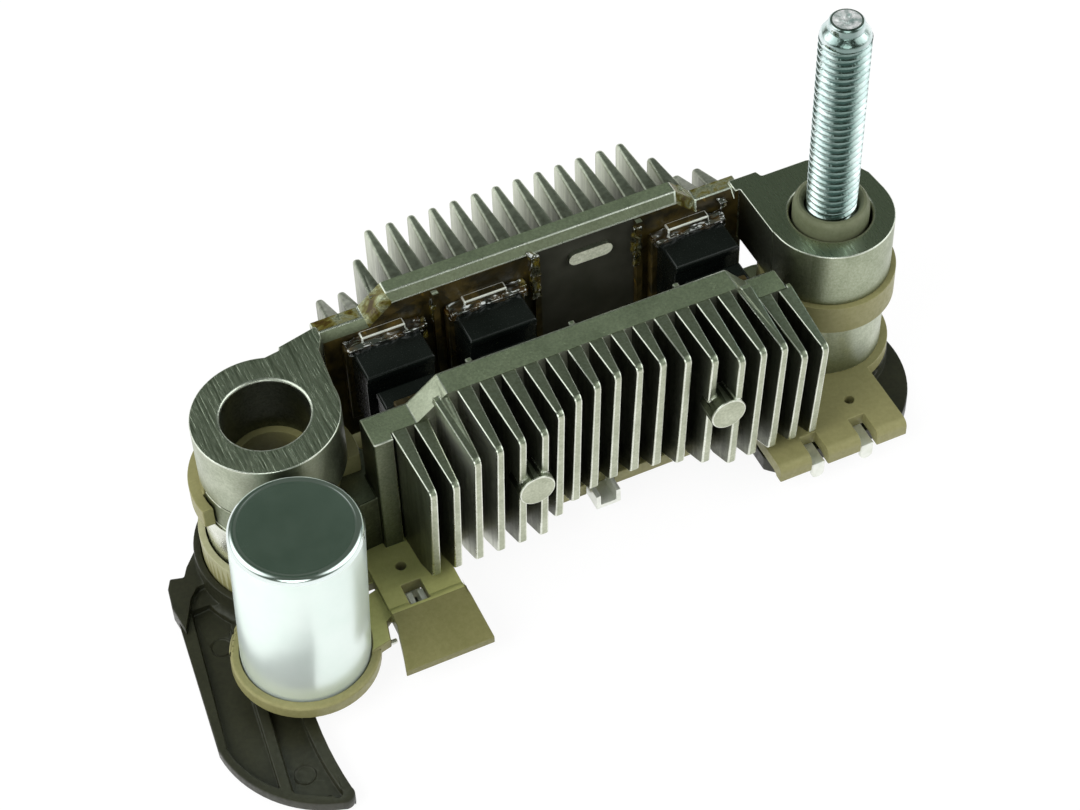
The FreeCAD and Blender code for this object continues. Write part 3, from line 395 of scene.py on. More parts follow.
def softened_copy(node, materials, width, edge=None, steps=2, share=None, corner="MITER_ARC",
                  split=False):
    """A copy of a CAD node with its triangles merged and its sharp edges rounded over. share is
    given an edge's middle in millimetres and says how much of the width that edge gets."""
    merge_reach = 0.002
    flat_within = 1.0
    sharp_from = 30.0
    smooth_within = 32.0
    bpy.ops.object.select_all(action="DESELECT")
    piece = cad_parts[node].copy()
    piece.data = piece.data.copy()
    piece.name = node + "_piece"
    bpy.context.collection.objects.link(piece)
    piece.hide_set(False)
    bpy.context.view_layer.objects.active = piece
    piece.select_set(True)
    bpy.ops.object.mode_set(mode="EDIT")
    bpy.ops.mesh.select_mode(type="EDGE")
    bpy.ops.mesh.select_all(action="SELECT")
    bpy.ops.mesh.remove_doubles(threshold=merge_reach * MM)
    bpy.ops.mesh.dissolve_limited(angle_limit=math.radians(flat_within))
    if split:
        bpy.ops.mesh.select_all(action="SELECT")
        bpy.ops.mesh.vert_connect_concave()
    bpy.ops.mesh.select_all(action="DESELECT")
    bpy.ops.mesh.edges_select_sharp(sharpness=math.radians(sharp_from))
    bpy.ops.object.mode_set(mode="OBJECT")
    weights = piece.data.attributes.new("bevel_weight_edge", "FLOAT", "EDGE")
    for line, weight in zip(piece.data.edges, weights.data):
        if line.select:
            first, last = [piece.data.vertices[index].co / MM for index in line.vertices]
            weight.value = share((first + last) / 2) if share else 1.0
    piece.data.materials.clear()
    for material in materials:
        piece.data.materials.append(material)
    for face in piece.data.polygons:
        face.material_index = 0
    rounding = piece.modifiers.new("rounding", "BEVEL")
    rounding.width = width * MM
    rounding.segments = steps
    rounding.limit_method = "WEIGHT"
    rounding.use_clamp_overlap = False
    rounding.miter_outer = corner
    if edge:
        piece.data.materials.append(edge)
        rounding.material = len(materials)
    bpy.ops.object.modifier_apply(modifier=rounding.name)
    bpy.ops.object.shade_smooth_by_angle(angle=math.radians(smooth_within))
    even = piece.modifiers.new("even_shading", "WEIGHTED_NORMAL")
    even.keep_sharp = True
    bpy.ops.object.modifier_apply(modifier=even.name)
    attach(piece, "root")
    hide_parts(node)
    return piece


def set_finish(piece, face, material):
    """Gives one face a material that its piece already carries."""
    face.material_index = piece.data.materials.find(material.name)


def within(value, span):
    return span[0] < value < span[1]


left_boss_x = -94.2
fin_sides_from = 14.6
bay_step_x = (-81.0, -11.0)
bay_step_y = (9.2, 10.9)
bay_step_top = 1.6
back_ridge_y = (14.0, 14.5)
boss_seam_x = (-10.6, -9.9)
boss_seam_reach = 0.4
left_ramp_x = (-74.0, -70.0)
right_ramp_x = (-21.0, -18.0)
ramp_y = (10.4, 15.2)
ramp_z = (0.4, 3.0)
rear_edge_share = 0.42


def rear_share(point):
    """Fin ends are rounded most. Shallow steps in the bays and on the wall's back stay sharp."""
    if point.y > fin_sides_from:
        return 1.0
    in_bay = within(point.x, bay_step_x) and within(point.y, bay_step_y) and point.z < bay_step_top
    back_ridge = within(point.y, back_ridge_y)
    boss_seam = within(point.x, boss_seam_x) and abs(point.y) < boss_seam_reach
    beside = within(point.x, left_ramp_x) or within(point.x, right_ramp_x)
    ramp = beside and within(point.y, ramp_y) and within(point.z, ramp_z)
    return 0.0 if in_bay or back_ridge or boss_seam or ramp else rear_edge_share


rear_sink = softened_copy("rear_heat_sink",
                          [cast_skin, rear_fin_sides, milled_left, milled_right, bay_varnish, olive_wall,
                           bare_bay, level_tops, bore_painted_shade, oval_pad, ledge, right_painted_shade],
                          0.48, edge=worn_and_highlit_edges, steps=3, share=rear_share)
pad_x = (-41.5, -32.0)
pad_y = (9.2, 10.5)
pad_z = (-4.6, 0.6)
wall_x = (-81.2, -10.8)
wall_front_y = (9.4, 11.2)
wall_front_top = 1.9
wall_top_y = (10.4, 14.4)
wall_top_low = -0.7
high_part_x = (-69.5, -21.5)
ledge_y = (10.2, 12.0)
ledge_low = 1.5
low_ledge_y = (11.0, 11.3)
wall_foot = -9.5
fins_from = 14.3
face_low = -0.3
left_boss_end = -81.7
right_boss_start = -11.5
bore_reach = 6.8
right_flank_start = -7.0
right_flank_low = -11.0
for face in rear_sink.data.polygons:
    middle = face.center / MM
    forward = -face.normal.y
    upward = face.normal.z
    plain_face = face.material_index == 0
    over_pad = within(middle.x, pad_x) and within(middle.y, pad_y) and within(middle.z, pad_z)
    in_wall = within(middle.x, wall_x) and within(middle.y, wall_front_y) and middle.z < wall_front_top
    wall_top = within(middle.y, wall_top_y) and middle.z > wall_top_low
    on_ledge = forward > 0.3 and within(middle.y, ledge_y) and middle.z > ledge_low
    on_low_ledge = forward > 0.6 and upward > 0.6 and within(middle.y, low_ledge_y)
    boss_face = upward > 0.98 and middle.z > face_low
    if over_pad:
        # The pad's downward faces take the edge colour as a painted highlight along its lower edge.
        around_pad = worn_and_highlit_edges if upward < -0.3 else cast_skin
        set_finish(rear_sink, face, oval_pad if forward > 0.9 else around_pad)
    elif not plain_face and middle.z < wall_foot:
        set_finish(rear_sink, face, cast_skin)
    elif middle.y > fins_from:
        set_finish(rear_sink, face, rear_fin_sides)
    elif not plain_face:
        continue
    elif on_ledge:
        set_finish(rear_sink, face, ledge)
    elif boss_face and middle.x < left_boss_end:
        set_finish(rear_sink, face, milled_left)
    elif boss_face and middle.x > right_boss_start:
        set_finish(rear_sink, face, milled_right)
    elif in_wall and upward < 0.5:
        set_finish(rear_sink, face, bare_bay if within(middle.x, (bay_left, bay_right)) else bay_varnish)
    elif on_low_ledge:
        set_finish(rear_sink, face, ledge if middle.x < bay_left else bay_varnish)
    elif wall_top and upward > 0.3 and not high_part_x[0] <= middle.x <= high_part_x[1]:
        set_finish(rear_sink, face, olive_wall)
    elif wall_top and upward > 0.9:
        set_finish(rear_sink, face, level_tops)
    # Painted shade inside the left boss's bore.
    elif (middle.xy - Vector((left_boss_x, 0.0))).length < bore_reach and abs(upward) < 0.3:
        set_finish(rear_sink, face, bore_painted_shade)
    # Painted shade on the right boss's upright sides.
    elif middle.x > right_flank_start and abs(upward) < 0.3 and middle.z > right_flank_low:
        set_finish(rear_sink, face, right_painted_shade)


# Front heat sink
# The second casting: wall, fins with a round clearance in their middle, two round pads and
# both lower eyelets. Its fin ends and pads came out bright from blasting.
fin_edges = cast_metal("blasted_fin_edges", colour(0.41, 0.44, 0.325), colour(0.61, 0.64, 0.50),
                       colour(0.30, 0.31, 0.24), 0.2, 0.6, 0.46)
# Painted shade: a darker copy of the casting for faces turned left and the left end's front.
painted_shade_end = cast_metal("painted_shade_end", colour(0.20, 0.23, 0.15), colour(0.38, 0.42, 0.30),
                      colour(0.040, 0.040, 0.024), 0.9, 0.5, 0.44)
# Painted shadow: a dark copy of the casting for the arm by the left eyelet and the pegs' round sides.
painted_shadow_web = cast_metal("painted_shadow_web", colour(0.08, 0.09, 0.055), colour(0.18, 0.20, 0.135),
                      colour(0.020, 0.020, 0.012), 0.9, 0.4, 0.46)
# Painted shade: a darker copy of the casting for the fins' upward faces.
painted_shade_fin_tops = cast_metal("painted_shade_fin_tops", colour(0.25, 0.28, 0.20), colour(0.44, 0.48, 0.36),
                      colour(0.060, 0.060, 0.040), 0.7, 0.5, 0.42)
front_fin_sides = painted_light_fin_metal("front_fin_sides", (-9.6, -22.0), (-14.0, -26.0), -0.26,
                            colour(0.050, 0.052, 0.032), colour(0.50, 0.54, 0.42))
scraped = painted_light_fin_metal("scraped_fin", (-9.0, -14.0), (-16.0, -2.0), 0.55,
                    colour(0.12, 0.13, 0.09), colour(0.98, 1.0, 0.90))

fin_root_y = (-9.2, -8.8)
eyelet_end = -94.0
eyelet_front = -8.5


def front_share(point):
    """Edges where the fins meet the wall and the lower eyelet meets its arm are left sharp."""
    fin_roots = within(point.y, fin_root_y)
    eyelet = point.x < eyelet_end and point.y < eyelet_front
    return 0.0 if fin_roots or eyelet else 1.0


front_sink = softened_copy("front_heat_sink",
                           [cast_skin, fin_edges, front_fin_sides, level_tops, painted_shade_end, painted_shadow_web, painted_shade_fin_tops,
                            scraped], 0.24, edge=worn_and_highlit_edges, share=front_share)
eyelet_x = (-97.0, -87.0)
arm_end = -80.5
arm_top = -14.0
front_ramp_y = (-9.0, -4.6)
fillet_y = (-21.0, -9.5)
pad_front = -13.0
scraped_x = (-70.9, -65.0)
scraped_from = -9.0
fin_start = -9.2
first_fin = -79.0
left_end = -78.0
wall_top_from = -6.0
for face in front_sink.data.polygons:
    middle = face.center / MM
    facing = face.normal
    plain_face = face.material_index == 0
    on_ramp = within(facing.z, (0.3, 0.95)) and abs(facing.x) > 0.3 and within(middle.y, front_ramp_y)
    slanted = abs(facing.y) < 0.1 and min(abs(facing.x), abs(facing.z)) > 0.1
    # Painted shadow on the arm beside the left eyelet.
    if middle.x < arm_end and middle.z < arm_top:
        # Faces left of the eyelet take the pale edge colour, worn and painted as a highlight.
        beside_eyelet = worn_and_highlit_edges if middle.x < eyelet_x[0] else cast_skin
        set_finish(front_sink, face, painted_shadow_web if middle.x > eyelet_x[1] else beside_eyelet)
    elif on_ramp:
        set_finish(front_sink, face, fin_edges)
    elif not plain_face:
        continue
    # Painted shadow on the pegs' round sides.
    elif slanted and within(middle.y, fillet_y):
        set_finish(front_sink, face, painted_shadow_web)
    elif facing.y < -0.9 and middle.y < pad_front:
        set_finish(front_sink, face, fin_edges)
    elif facing.x < -0.9 and within(middle.x, scraped_x) and middle.y < scraped_from:
        set_finish(front_sink, face, scraped)
    elif abs(facing.x) > 0.9 and middle.y < fin_start and middle.x > first_fin:
        set_finish(front_sink, face, front_fin_sides)
    # Painted shade on faces turned left and on the left end's front.
    elif facing.x < -0.6 or (facing.y < -0.9 and middle.x < left_end):
        set_finish(front_sink, face, painted_shade_end)
    # Painted shade on the fins' upward faces.
    elif facing.z > 0.5 and middle.y < fin_start:
        set_finish(front_sink, face, painted_shade_fin_tops)
    elif facing.z > 0.9 and middle.z > wall_top_from:
        set_finish(front_sink, face, level_tops)


# Output stud
# A rolled M8 stud of steel, zinc plated to a bluish silver. A punch has marked its dog point,
# and its hexagon head holds it up against the front casting's right eyelet.
def start_profile(name, radius, level):
    """One point of a profile, at a radius and a height in millimetres, ready to be drawn on."""
    bpy.ops.object.select_all(action="DESELECT")
    bpy.ops.mesh.primitive_plane_add(size=MM, location=(0.0, 0.0, 0.0))
    piece = bpy.context.active_object
    piece.name = name
    bpy.ops.object.mode_set(mode="EDIT")
    bpy.ops.mesh.select_mode(type="VERT")
    bpy.ops.mesh.select_all(action="SELECT")
    bpy.ops.mesh.merge(type="CENTER")
    bpy.ops.transform.translate(value=(radius * MM, 0.0, level * MM))
    return piece


def draw_profile(points):
    """Draws on from the last point through the given radii and heights."""
    last = points[0]
    for radius, level in points[1:]:
        step = ((radius - last[0]) * MM, 0.0, (level - last[1]) * MM)
        bpy.ops.mesh.extrude_region_move(TRANSFORM_OT_translate={"value": step})
        last = (radius, level)


def lathed(name, points, steps=72):
    """A turned piece: the profile is drawn in the X, Z plane and spun about Z."""
    weld_reach = 0.004
    smooth_within = 32.0
    piece = start_profile(name, *points[0])
    draw_profile(points)
    bpy.ops.mesh.select_all(action="SELECT")
    bpy.ops.mesh.spin(steps=steps, angle=math.tau, center=(0.0, 0.0, 0.0), axis=(0.0, 0.0, 1.0))
    bpy.ops.mesh.select_all(action="SELECT")
    bpy.ops.mesh.remove_doubles(threshold=weld_reach * MM)
    bpy.ops.mesh.normals_make_consistent(inside=False)
    bpy.ops.object.mode_set(mode="OBJECT")
    bpy.ops.object.shade_smooth_by_angle(angle=math.radians(smooth_within))
    return piece


def round_edges(piece, width):
    """Rounds every edge of a new piece, by a width in millimetres."""
    smooth_within = 35.0
    rounding = piece.modifiers.new("rounding", "BEVEL")
    rounding.width = width * MM
    rounding.segments = 2
    bpy.ops.object.modifier_apply(modifier=rounding.name)
    bpy.ops.object.shade_smooth_by_angle(angle=math.radians(smooth_within))


zinc, tree, shader = new_material("blue_zinc_plate", metallic=1.0)
# Painted reflection: faces that turn towards the viewer are painted dark blue-green, the dark band the
# thread mirrors there.
to_viewer = (-0.42, -0.907, 0.0)
skin = place_group(tree, skin_group, Grain_Scale=1500.0, Stain_Scale=500.0)
normal = add_node(tree, "ShaderNodeNewGeometry").outputs["Normal"]
level_part = add_node(tree, "ShaderNodeVectorMath", {0: normal, 1: (1.0, 1.0, 0.0)}, operation="MULTIPLY")
level_part = add_node(tree, "ShaderNodeVectorMath", {0: level_part.outputs[0]}, operation="NORMALIZE")
frontal = add_node(tree, "ShaderNodeVectorMath", {0: level_part.outputs[0], 1: to_viewer},
                   operation="DOT_PRODUCT")
painted_dark_reflection = ranged(tree, frontal.outputs["Value"], 0.62, 0.95, 0.0, 0.85)
base = blended(tree, skin["Stain"], colour(0.55, 0.68, 0.67), colour(0.90, 0.98, 0.98))
tree.links.new(blended(tree, painted_dark_reflection, base, colour(0.135, 0.215, 0.19)), shader.inputs["Base Color"])
tree.links.new(ranged(tree, skin["Speckle"], 0.0, 1.0, 0.24, 0.10), shader.inputs["Roughness"])
add_bump(tree, shader, skin["Height"], 0.5, skin_depth)
# Painted highlights: the dog point's end is painted lighter than the zinc, up to white in patches on the
# punch mark.
punched, tree, shader = new_material("punched_end_painted_highlights", metallic=0.4, roughness=0.30)
skin = place_group(tree, skin_group, Grain_Scale=1500.0, Stain_Scale=900.0)
tree.links.new(blended(tree, skin["Stain"], colour(0.24, 0.32, 0.30), white),
               shader.inputs["Base Color"])
add_bump(tree, shader, skin["Height"], 0.6, 0.1)

thread_pitch = 1.25
thread_r = 4.0
root_r = 3.36
thread_low = 0.4
thread_high = 35.9
steps_per_turn = 40
thread = start_profile("stud_thread", root_r, thread_low - thread_pitch)
draw_profile([(root_r, 0.0), (root_r + 0.06, 0.15), (thread_r - 0.26, 0.36), (thread_r - 0.06, 0.48),
              (thread_r, 0.59), (thread_r, 0.66), (thread_r - 0.06, 0.77), (thread_r - 0.26, 0.89),
              (root_r + 0.06, 1.10), (root_r, thread_pitch)])
bpy.ops.object.mode_set(mode="OBJECT")
winding = thread.modifiers.new("winding", "SCREW")
winding.screw_offset = thread_pitch * MM
winding.iterations = math.ceil((thread_high - thread_low) / thread_pitch) + 2
winding.steps = steps_per_turn
winding.render_steps = steps_per_turn
winding.use_merge_vertices = True
winding.merge_threshold = 0.002 * MM
bpy.ops.object.modifier_apply(modifier="winding")
bpy.ops.object.mode_set(mode="EDIT")
for level, outer in ((thread_low, False), (thread_high, True)):
    bpy.ops.mesh.select_all(action="SELECT")
    bpy.ops.mesh.bisect(plane_co=(0.0, 0.0, level * MM), plane_no=(0.0, 0.0, 1.0), use_fill=True,
                        clear_outer=outer, clear_inner=not outer)
bpy.ops.mesh.select_all(action="SELECT")
bpy.ops.mesh.normals_make_consistent(inside=False)
bpy.ops.object.mode_set(mode="OBJECT")
inward = sum(1 for face in thread.data.polygons if face.normal.xy.dot(face.center.xy) < 0.0)
if inward > len(thread.data.polygons) / 2:
    bpy.ops.object.mode_set(mode="EDIT")
    bpy.ops.mesh.flip_normals()
    bpy.ops.object.mode_set(mode="OBJECT")
bpy.ops.object.shade_smooth_by_angle(angle=math.radians(30.0))

point_r = 2.75
stud_top = 39.0
dog_low = 37.4
point = lathed("stud_point", [
    (0.0, stud_top - 0.12), (0.5, stud_top - 0.12), (0.95, stud_top - 0.10), (1.45, stud_top - 0.06),
    (1.85, stud_top - 0.02), (point_r - 0.6, stud_top),
    (point_r - 0.28, stud_top - 0.08), (point_r - 0.06, stud_top - 0.32), (point_r, stud_top - 0.6),
    (point_r, dog_low + 0.15), (point_r + 0.14, dog_low), (thread_r - 0.50, thread_high + 1.10),
    (thread_r - 0.22, thread_high + 0.70), (thread_r - 0.10, thread_high + 0.25),
    (thread_r - 0.16, thread_high - 0.05), (0.0, thread_high - 0.05)])

punch_lobes = 5.0
punch_turn = 0.6
punch_depth = 0.16
punch_ring = 0.9
punch_reach = 2.0
for vertex in point.data.vertices:
    reach = vertex.co.xy.length / MM
    if reach < punch_reach and vertex.co.z > (stud_top - 1.0) * MM:
        spoke = math.cos(punch_lobes * math.atan2(vertex.co.y, vertex.co.x) + punch_turn)
        fading = 1.0 - abs(reach - punch_ring) / (punch_reach - punch_ring)
        vertex.co.z += (punch_depth * spoke - punch_depth) * MM * fading

seat_r = 4.6
shank_r = 3.6
seat_top = -17.0
seat_foot = -27.3
shank = lathed("stud_shank", [
    (0.0, 0.6), (shank_r, 0.6), (shank_r, seat_top + 0.6), (seat_r - 0.3, seat_top + 0.3),
    (seat_r, seat_top), (seat_r, seat_foot), (seat_r + 1.7, seat_foot - 0.1), (0.0, seat_foot - 0.1)])
for piece in (thread, point, shank):
    piece.data.materials.append(zinc)
    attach(piece, "root")

head_r = 7.5
head_height = 4.5
head_middle = -29.75
bpy.ops.object.select_all(action="DESELECT")
bpy.ops.mesh.primitive_cylinder_add(vertices=6, radius=head_r * MM, depth=head_height * MM,
                                    location=(0.0, 0.0, head_middle * MM), end_fill_type="NGON")
head = bpy.context.active_object
head.name = "stud_head"
bpy.ops.object.transform_apply(location=True, rotation=True, scale=True)
round_edges(head, 0.4)
head.data.materials.append(zinc)
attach(head, "root")
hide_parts("battery_stud")

punched_r = 2.3
point.data.materials.append(punched)
for face in point.data.polygons:
    if face.center.z > (stud_top - 0.7) * MM and face.center.xy.length < punched_r * MM:
        set_finish(point, face, punched)


# Tan insulators
# Glass-filled plastic: the bush round the stud, the ring below it, the left bush with its
# flange, and the plate that carries the lead frame and the capacitor.
plastic_group, given, result = add_group("moulded_plastic", [("Fibre Scale", 900.0)],
                                         ["Fibre", "Cloud", "Height"])
place = add_node(plastic_group, "ShaderNodeTexCoord").outputs["Object"]
fibre = add_node(plastic_group, "ShaderNodeTexNoise",
                 {"Vector": place, "Scale": given["Fibre Scale"], "Detail": 4.0, "Roughness": 0.7})
cloud = add_node(plastic_group, "ShaderNodeTexNoise", {"Vector": place, "Scale": 120.0, "Detail": 3.0})
plastic_group.links.new(ranged(plastic_group, fibre.outputs[0], 0.38, 0.64), result.inputs["Fibre"])
plastic_group.links.new(ranged(plastic_group, cloud.outputs[0], 0.35, 0.66), result.inputs["Cloud"])
plastic_group.links.new(fibre.outputs[0], result.inputs["Height"])

gloss_play = 0.08


def moulded(name, dark, light, deep, roughness):
    """Moulded plastic: faint fibres and clouds of colour, with painted shade (the deep colour) in its
    corners.
    """
    made, tree, shader = new_material(name, roughness=roughness, Specular_IOR_Level=0.45)
    fill = place_group(tree, plastic_group, Fibre_Scale=1300.0)
    painted_crevice_shade = place_group(tree, crevice_group, Reach=0.003, Depth=0.15)
    mixed = math_node(tree, "MULTIPLY", math_node(tree, "ADD", fill["Fibre"], fill["Cloud"]), 0.5)
    # Painted shade: the base colour goes towards the deep colour in corners.
    base = blended(tree, painted_crevice_shade["Shade"], blended(tree, mixed, dark, light), deep)
    tree.links.new(base, shader.inputs["Base Color"])
    gloss = ranged(tree, fill["Fibre"], 0.0, 1.0, roughness + gloss_play, roughness - gloss_play)
    tree.links.new(gloss, shader.inputs["Roughness"])
    add_bump(tree, shader, fill["Height"], 0.25, 0.08)
    return made


tan_plastic = moulded("tan_plastic", colour(0.225, 0.215, 0.088), colour(0.285, 0.272, 0.120),
                      colour(0.080, 0.074, 0.030), 0.46)
# Painted shade: a darker copy of the tan plastic for the flap.
painted_shade_flap_plastic = moulded("painted_shade_flap_plastic", colour(0.155, 0.150, 0.052), colour(0.205, 0.196, 0.078),
                       colour(0.060, 0.056, 0.022), 0.42)
bush_plastic = moulded("bush_plastic", colour(0.110, 0.125, 0.068), colour(0.150, 0.166, 0.096),
                       colour(0.050, 0.052, 0.030), 0.50)
pale_plastic = moulded("pale_plastic", colour(0.34, 0.335, 0.195), colour(0.42, 0.415, 0.255),
                       colour(0.110, 0.105, 0.055), 0.46)
# Painted light: a lighter copy of the tan plastic for the lead frame's upper faces, against the fins'
# shadow there.
painted_light_plate_plastic = moulded("painted_light_plate_plastic", colour(0.34, 0.35, 0.125), colour(0.42, 0.43, 0.165),
                        colour(0.120, 0.115, 0.045), 0.46)
for node in ("right_insulating_ring", "left_insulating_bush"):
    softened_copy(node, [tan_plastic], 0.16)

plate = softened_copy("terminal_plate",
                      [tan_plastic, painted_shade_flap_plastic, painted_light_plate_plastic, pale_plastic], 0.16, corner="MITER_SHARP")
flap_x = (-88.0, -72.0)
flap_back = -22.5
lead_frame_x = (-90.0, -72.0)
lead_frame_y = (-22.5, -9.0)
collar_low = -27.4
collar_reach = 13.5
for face in plate.data.polygons:
    middle = face.center / MM
    on_lead_frame = within(middle.x, lead_frame_x) and within(middle.y, lead_frame_y)
    # Painted shade on the flap.
    if within(middle.x, flap_x) and middle.y < flap_back:
        set_finish(plate, face, painted_shade_flap_plastic)
    # Painted light on the lead frame's upper faces.
    elif on_lead_frame and face.normal.z > 0.5:
        set_finish(plate, face, painted_light_plate_plastic)
    elif middle.z > collar_low and (middle.xy - Vector((left_boss_x, 0.0))).length < collar_reach:
        set_finish(plate, face, pale_plastic)


def new_box(name, low, high):
    """A box between two corners in millimetres, with its place in its mesh."""
    middle = [(a + b) / 2 * MM for a, b in zip(low, high)]
    bpy.ops.object.select_all(action="DESELECT")
    bpy.ops.mesh.primitive_cube_add(size=1.0, location=middle)
    piece = bpy.context.active_object
    piece.name = name
    piece.scale = [(b - a) * MM for a, b in zip(low, high)]
    bpy.ops.object.transform_apply(location=True, rotation=True, scale=True)
    return piece


web = new_box("plate_web", (-81.4, 9.6, -29.9), (-74.2, 14.0, -27.5))
round_edges(web, 0.3)
web.data.materials.append(tan_plastic)
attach(web, "root")

bush_r = 6.05
bush_bore = 4.25
bush_foot = -10.6
bush = lathed("stud_bush_piece", [
    (bush_bore, bush_foot), (bush_bore, 1.5), (4.4, 2.1), (4.7, 2.5), (5.05, 2.68), (5.45, 2.62),
    (5.8, 2.3), (6.0, 1.8), (bush_r, 1.2), (bush_r, bush_foot), (bush_bore, bush_foot)])
bush.data.materials.append(bush_plastic)
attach(bush, "root")
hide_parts("stud_bush")


# Base moulding
# A dark brown moulding under everything, with the curved arm that reaches out at the front left.
# It is moulded in one piece with the arm's rim, ribs and round marks.
arm_step_z = (-32.6, -32.0)
arm_step_end = -104.0
arm_step_y = (-21.5, -5.0)


def base_share(point):
    """The step under the arm's rim runs into round corners, so it is left sharp there."""
    arm_step = within(point.z, arm_step_z) and point.x < arm_step_end and within(point.y, arm_step_y)
    return 0.0 if arm_step else 1.0


dark_plastic = moulded("dark_plastic", colour(0.0145, 0.0150, 0.0076), colour(0.0290, 0.0300, 0.0162),
                       colour(0.007, 0.007, 0.004), 0.42)
softened_copy("base_moulding", [dark_plastic], 0.25, share=base_share, split=True)


# Suppression capacitor
# A drawn aluminium can with a rolled rim round its slightly sunken lid. It leans in its ring
# and is closed below with resin, where its two wires come out.
can_r = 9.8
can_height = 29.6
can_foot = (-99.2, -21.6, -29.3)
can_lean = 2.8
can = lathed("capacitor_can_piece", [
    (0.0, can_height - 0.12), (8.4, can_height - 0.12), (8.62, can_height - 0.06), (8.8, can_height),
    (9.1, can_height - 0.04), (9.38, can_height - 0.17), (9.61, can_height - 0.39),
    (9.75, can_height - 0.70), (can_r, can_height - 1.05), (can_r, can_height - 1.3),
    (can_r, 14.0), (can_r, 1.6), (can_r - 0.12, 1.1), (can_r, 0.6), (can_r - 0.1, 0.1),
    (can_r - 0.35, 0.0), (can_r - 0.8, 0.0), (can_r - 0.8, 2.6), (0.0, 2.6)], steps=96)
can.location = metres(can_foot)
can.rotation_euler = (0.0, math.radians(can_lean), 0.0)
bpy.ops.object.transform_apply(location=True, rotation=True, scale=True)

drawn, tree, shader = new_material("drawn_can_side", metallic=0.5, roughness=0.27)
skin = place_group(tree, skin_group, Grain_Scale=900.0, Stain_Scale=120.0)
tree.links.new(blended(tree, skin["Stain"], colour(0.80, 0.92, 0.86), colour(0.86, 0.96, 0.91)),
               shader.inputs["Base Color"])
lid, tree, shader = new_material("can_lid", metallic=1.0, roughness=0.25)
skin = place_group(tree, skin_group, Grain_Scale=1400.0, Stain_Scale=200.0)
tree.links.new(blended(tree, skin["Stain"], colour(0.46, 0.60, 0.52), colour(0.54, 0.68, 0.60)),
               shader.inputs["Base Color"])
rim, tree, shader = new_material("can_rim", metallic=1.0, roughness=0.12)
shader.inputs["Base Color"].default_value = colour(0.84, 0.92, 0.90)
for material in (drawn, lid, rim):
    can.data.materials.append(material)
lid_low = -2.0
for face in can.data.polygons:
    if face.center.z > lid_low * MM and face.normal.z > 0.99:
        set_finish(can, face, lid)
    elif face.center.z > lid_low * MM and face.normal.z > 0.1:
        set_finish(can, face, rim)
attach(can, "root")
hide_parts("capacitor_can")

resin = moulded("cast_resin", colour(0.10, 0.07, 0.035), colour(0.17, 0.13, 0.07),
                colour(0.03, 0.02, 0.01), 0.35)
softened_copy("capacitor_seal", [resin], 0.1)


# Tinned copper
# The spreader plates under the diodes, the flat leads, the strips with their crimp and tabs,
# and the capacitor's wires, all stamped or drawn from copper and dipped in tin.
tinned, tree, shader = new_material("tinned_copper", metallic=0.6, roughness=0.28)
skin = place_group(tree, skin_group, Grain_Scale=1100.0, Stain_Scale=420.0)
tree.links.new(blended(tree, skin["Stain"], colour(0.78, 0.81, 0.72), colour(0.95, 0.97, 0.90)),
               shader.inputs["Base Color"])
add_bump(tree, shader, skin["Height"], 0.12, 0.05)
for node in ("left_strip", "middle_strip", "right_strip", "rear_diode_leads", "front_diode_leads",
             "capacitor_leads"):
    softened_copy(node, [tinned], 0.12)
tab_low = -3.2
for node in ("rear_spreaders", "front_spreaders"):
    spreader = softened_copy(node, [bay_varnish], 0.26, edge=tinned)
    for face in spreader.data.polygons:
        if face.center.z < tab_low * MM:
            set_finish(spreader, face, bay_varnish)


# Diodes
# Six black moulded bodies, three on each wall, soldered to their spreader plates. The varnish
# over them leaves their tops glossy.
epoxy, tree, shader = new_material("black_epoxy", roughness=0.3, Specular_IOR_Level=0.5)
fill = place_group(tree, plastic_group, Fibre_Scale=1800.0)
tree.links.new(blended(tree, fill["Cloud"], colour(0.0022, 0.0034, 0.0028), colour(0.0050, 0.0068, 0.0058)),
               shader.inputs["Base Color"])
tree.links.new(ranged(tree, fill["Fibre"], 0.0, 1.0, 0.28, 0.18), shader.inputs["Roughness"])
add_bump(tree, shader, fill["Height"], 0.1, 0.05)
for row in ("rear", "front"):
    for name in ("left", "middle", "right"):
        softened_copy(row + "_diode_" + name, [epoxy], 0.14)


# Varnish
# The diodes were soldered to their walls and brushed with varnish, which ran down and set in
# thick glossy drops along their tops, clear brown where it is thin and nearly black where deep.
def set_varnish(name, dark, clear, clear_at):
    """Set varnish: a hard gloss over a colour that changes with its thickness."""
    made, tree, shader = new_material(name, roughness=0.05, Coat_Weight=1.0, Coat_Roughness=0.02,
                                      Coat_IOR=2.3, Specular_IOR_Level=1.0, IOR=2.2)
    place = add_node(tree, "ShaderNodeTexCoord").outputs["Object"]
    depth = add_node(tree, "ShaderNodeTexNoise", {"Vector": place, "Scale": 520.0, "Detail": 3.0})
    tint = blended(tree, ranged(tree, depth.outputs[0], 0.48, clear_at), dark, clear)
    tree.links.new(tint, shader.inputs["Base Color"])
    return made


pooled = set_varnish("pooled_varnish", colour(0.004, 0.003, 0.002), colour(0.060, 0.032, 0.006), 0.64)
amber = set_varnish("amber_varnish", colour(0.008, 0.007, 0.002), colour(0.150, 0.120, 0.012), 0.66)


def displace(piece, name, noise_scale, strength, mid_level=0.5):
    """Pushes a piece's skin in and out by a cloudy pattern, sized in millimetres."""
    clouds = bpy.data.textures.new(name, "CLOUDS")
    clouds.noise_scale = noise_scale * MM
    lumpy = piece.modifiers.new(name, "DISPLACE")
    lumpy.texture = clouds
    lumpy.texture_coords = "LOCAL"
    lumpy.strength = strength * MM
    lumpy.mid_level = mid_level
    bpy.ops.object.modifier_apply(modifier=lumpy.name)
    bpy.ops.object.shade_smooth()


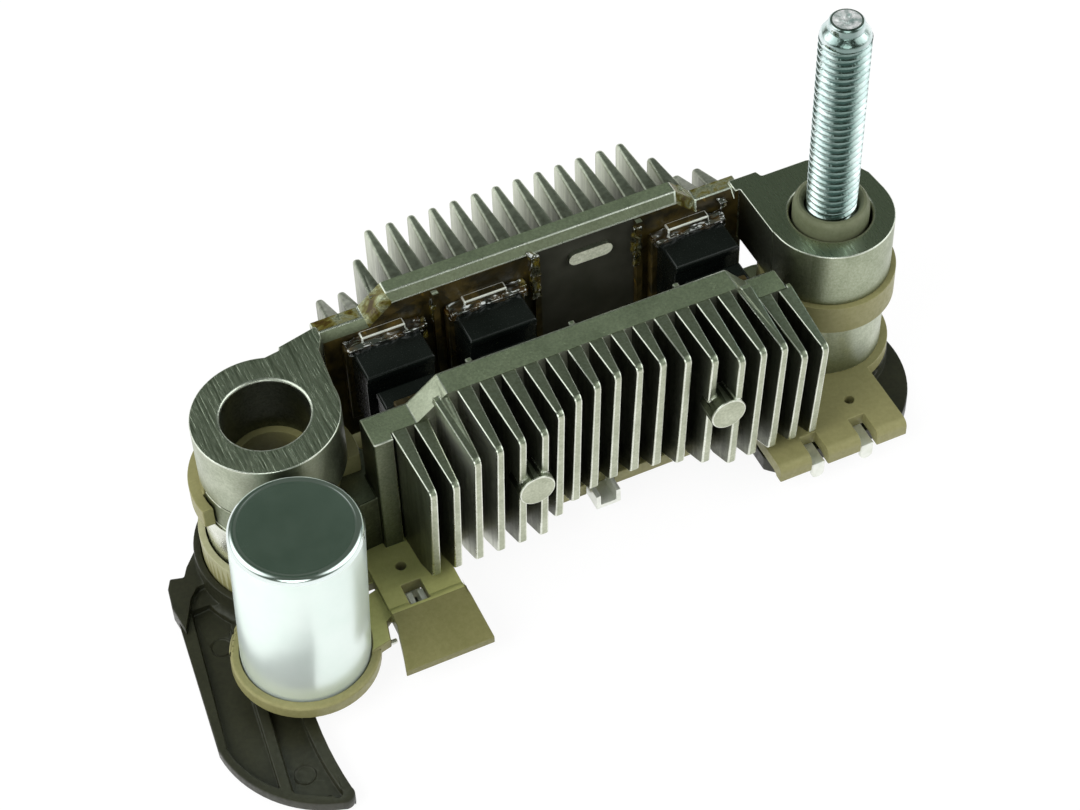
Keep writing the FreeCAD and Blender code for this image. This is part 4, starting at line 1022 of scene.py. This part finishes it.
def varnish_run(name, low, high, lumps, material):
    """An uneven bead of set varnish that fills the box between two corners, in millimetres."""
    piece = new_box(name, low, high)
    bpy.ops.object.mode_set(mode="EDIT")
    bpy.ops.mesh.select_all(action="SELECT")
    bpy.ops.mesh.subdivide(number_cuts=11)
    bpy.ops.object.mode_set(mode="OBJECT")
    smooth = piece.modifiers.new("smooth", "SUBSURF")
    smooth.levels = 1
    bpy.ops.object.modifier_apply(modifier=smooth.name)
    displace(piece, "lumps", 1.6, lumps, mid_level=0.55)
    piece.data.materials.append(material)
    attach(piece, "root")


diode_places = (-71.8, -54.9, -20.1)
for x in diode_places:
    varnish_run("varnish_bead", (x - 6.3, 7.9, -3.9), (x + 6.2, 10.5, -2.5), 1.2, pooled)
for name, low, high, lumps in (("rail_run", (-47.0, 9.4, -7.0), (-45.4, 10.9, 2.0), 1.6),
                               ("rail_run", (-29.3, 9.6, -8.0), (-28.1, 10.9, 0.4), 1.4),
                               ("rail_run", (-63.6, 9.7, -4.5), (-62.9, 10.8, 0.2), 1.0),
                               ("side_run", (-65.7, 8.6, -6.0), (-64.8, 10.4, -3.0), 1.0),
                               ("side_run", (-49.2, 8.8, -5.0), (-48.1, 10.6, -2.5), 1.0),
                               ("end_run", (-14.2, 9.7, -1.9), (-13.0, 10.9, -0.8), 0.9)):
    varnish_run(name, low, high, lumps, amber)


def set_drop(place, length, thickness, material):
    """A smooth drop that set along a diode's upper edge: a stretched, slightly sagging bead."""
    bpy.ops.object.select_all(action="DESELECT")
    bpy.ops.mesh.primitive_uv_sphere_add(segments=28, ring_count=16, radius=0.5 * MM)
    piece = bpy.context.active_object
    piece.name = "varnish_drop"
    piece.scale = (length, thickness, thickness * 0.9)
    piece.location = metres(place)
    bpy.ops.object.transform_apply(location=True, rotation=True, scale=True)
    displace(piece, "sag", 1.1, 0.35)
    piece.data.materials.append(material)
    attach(piece, "root")


random.seed(7)
drop_y = 8.45
drop_z = -2.95
for x in diode_places:
    for shift, length in ((-5.3, 1.9), (-2.6, 1.3), (-1.0, 1.6), (1.1, 2.2), (3.2, 1.2), (4.9, 2.0)):
        lift = random.uniform(-0.15, 0.25)
        set_drop((x + shift, drop_y + lift, drop_z + lift), length, random.uniform(0.7, 1.05), pooled)
